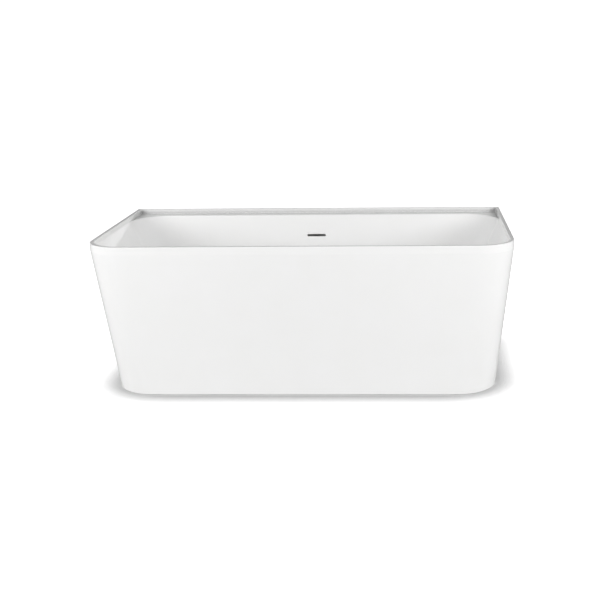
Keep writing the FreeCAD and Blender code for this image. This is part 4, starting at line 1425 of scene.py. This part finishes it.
FLOOR_GLOW = 0.95
FLOOR_LIGHT = "d2d2d2"
SKY_FRONT = 0.62
SKY_BACK = 0.15
SKY_SIDE = 0.50
SKY_TOP = 0.22
WHITE_SEEN = 1.05
FLOOR_HALF = 30.0
FLOOR_SHADE_REACH = 0.15
FLOOR_SHADE_POWER = 1.7
SENSOR = 36.0
LENS = 58.53
LENS_SHIFT = (-0.128, -0.0438)
CAMERA_PLACE = (0.39708, -3.69209, 1.29513)
CAMERA_YAW = math.radians(2.0)
CAMERA_TILT = 0.2455
CAMERA_ROLL = 0.0127


def for_camera(tree, seen, other):
    """One shader where the camera looks straight at it, another for all other light."""
    ray = add(tree, "LightPath")
    return add(tree, "MixShader", {0: ray.outputs["Is Camera Ray"], 1: other.outputs[0],
                                   2: seen.outputs[0]})


def studio_floor():
    """Pale painted floor, exposed to white, with painted shadow: a soft dark line where things
    stand on it.
    """
    material, tree, place = new_material("white_painted_floor")
    grain = add(tree, "TexNoise", {"Vector": place, "Scale": 1 / 0.002, "Detail": 2.0})
    tone = add(tree, "Mix", {"Factor": grain.outputs["Fac"], "A": linear("eeeeee"),
                             "B": linear("f2f2f2")}, data_type="RGBA")
    # painted shadow: ambient occlusion darkens the floor's colour and its glow near anything
    # standing on it
    near = add(tree, "AmbientOcclusion", {"Distance": FLOOR_SHADE_REACH}, samples=8)
    painted_contact_shadow = add(tree, "Math", {0: near.outputs["AO"], 1: FLOOR_SHADE_POWER}, operation="POWER")
    shaded = add(tree, "Mix", {"Factor": 1.0, "A": tone.outputs["Result"],
                               "B": painted_contact_shadow.outputs["Value"]}, data_type="RGBA",
                 blend_type="MULTIPLY")
    glow = add(tree, "Emission", {"Color": shaded.outputs["Result"], "Strength": FLOOR_GLOW})
    paint = add(tree, "BsdfDiffuse", {"Color": shaded.outputs["Result"]})
    seen = add(tree, "AddShader", {0: paint.outputs["BSDF"], 1: glow.outputs["Emission"]})
    show(tree, for_camera(tree, seen, add(tree, "BsdfDiffuse", {"Color": linear(FLOOR_LIGHT)})))
    half = FLOOR_HALF
    floor = mesh_object("studio_floor", ([(-half, -half, 0), (half, -half, 0), (half, half, 0),
                                          (-half, half, 0)], [(0, 1, 2, 3)]))
    floor.data.materials.append(material)


def studio_sky():
    """White surround: as light it is brightest in front and at the sides, and dim behind."""
    world = bpy.data.worlds.new("studio_sky")
    world.use_nodes = True
    tree = world.node_tree
    tree.nodes.clear()
    way = add(tree, "SeparateXYZ", {"Vector": add(tree, "TexCoord").outputs["Generated"]})
    depth = add(tree, "MapRange", {"Value": way.outputs["Y"], "From Min": -0.8, "From Max": 0.8,
                                   "To Min": SKY_FRONT, "To Max": SKY_BACK})
    across = add(tree, "Math", {0: way.outputs["X"]}, operation="ABSOLUTE")
    side = add(tree, "MapRange", {"Value": across.outputs["Value"], "From Min": 0.3,
                                  "From Max": 0.8, "To Min": 0.0, "To Max": SKY_SIDE})
    low = add(tree, "Math", {0: depth.outputs["Result"], 1: side.outputs["Result"]},
              operation="ADD")
    height = add(tree, "MapRange", {"Value": way.outputs["Z"], "From Min": 0.35, "From Max": 0.80,
                                    "To Min": 1.0, "To Max": 0.0}, interpolation_type="SMOOTHSTEP")
    level = add(tree, "Mix", {"Factor": height.outputs["Result"], "A": SKY_TOP,
                              "B": low.outputs["Value"]}, data_type="FLOAT")
    dim = add(tree, "Background", {"Color": linear("ffffff"), "Strength": level.outputs["Result"]})
    white = add(tree, "Background", {"Color": linear("ffffff"), "Strength": WHITE_SEEN})
    add(tree, "OutputWorld", {"Surface": for_camera(tree, white, dim).outputs[0]})
    bpy.context.scene.world = world


def soft_box(name, place, target, width, height, power):
    lamp = bpy.data.lights.new(name, "AREA")
    lamp.shape = "RECTANGLE"
    lamp.size = width
    lamp.size_y = height
    lamp.energy = power
    thing = bpy.data.objects.new(name, lamp)
    thing.location = place
    thing.rotation_euler = (Vector(target) - Vector(place)).to_track_quat("-Z", "Y").to_euler()
    thing.visible_camera = False
    bpy.context.scene.collection.objects.link(thing)


def camera():
    """Long lens a little right of the middle, looking slightly down, with its lens shifted."""
    lens = bpy.data.cameras.new("camera")
    lens.sensor_width = SENSOR
    lens.lens = LENS
    lens.shift_x, lens.shift_y = LENS_SHIFT
    lens.clip_end = 200.0
    yaw, tilt, roll = CAMERA_YAW, CAMERA_TILT, CAMERA_ROLL
    ahead = Vector((-math.sin(yaw) * math.cos(tilt), math.cos(yaw) * math.cos(tilt),
                    -math.sin(tilt)))
    right = Vector((math.cos(yaw), math.sin(yaw), 0.0))
    up = right.cross(ahead)
    right, up = (right * math.cos(roll) - up * math.sin(roll),
                 right * math.sin(roll) + up * math.cos(roll))
    thing = bpy.data.objects.new("camera", lens)
    turn = Matrix((right, up, -ahead)).transposed().to_4x4()
    thing.matrix_world = Matrix.Translation(CAMERA_PLACE) @ turn
    bpy.context.scene.collection.objects.link(thing)
    bpy.context.scene.camera = thing


studio_floor()
studio_sky()
soft_box("soft_box_left", (-2.7, -2.0, 1.6), (-0.1, -0.1, 0.45), 1.6, 1.4, 50)
soft_box("soft_box_right", (2.7, -2.0, 1.6), (0.1, -0.1, 0.45), 1.6, 1.4, 49)
soft_box("strip_light_behind", (0.55, 3.6, 0.93), (-0.7, 0.0, 0.50), 1.1, 0.30, 1.6)
camera()
bpy.context.scene.view_settings.view_transform = "Standard"
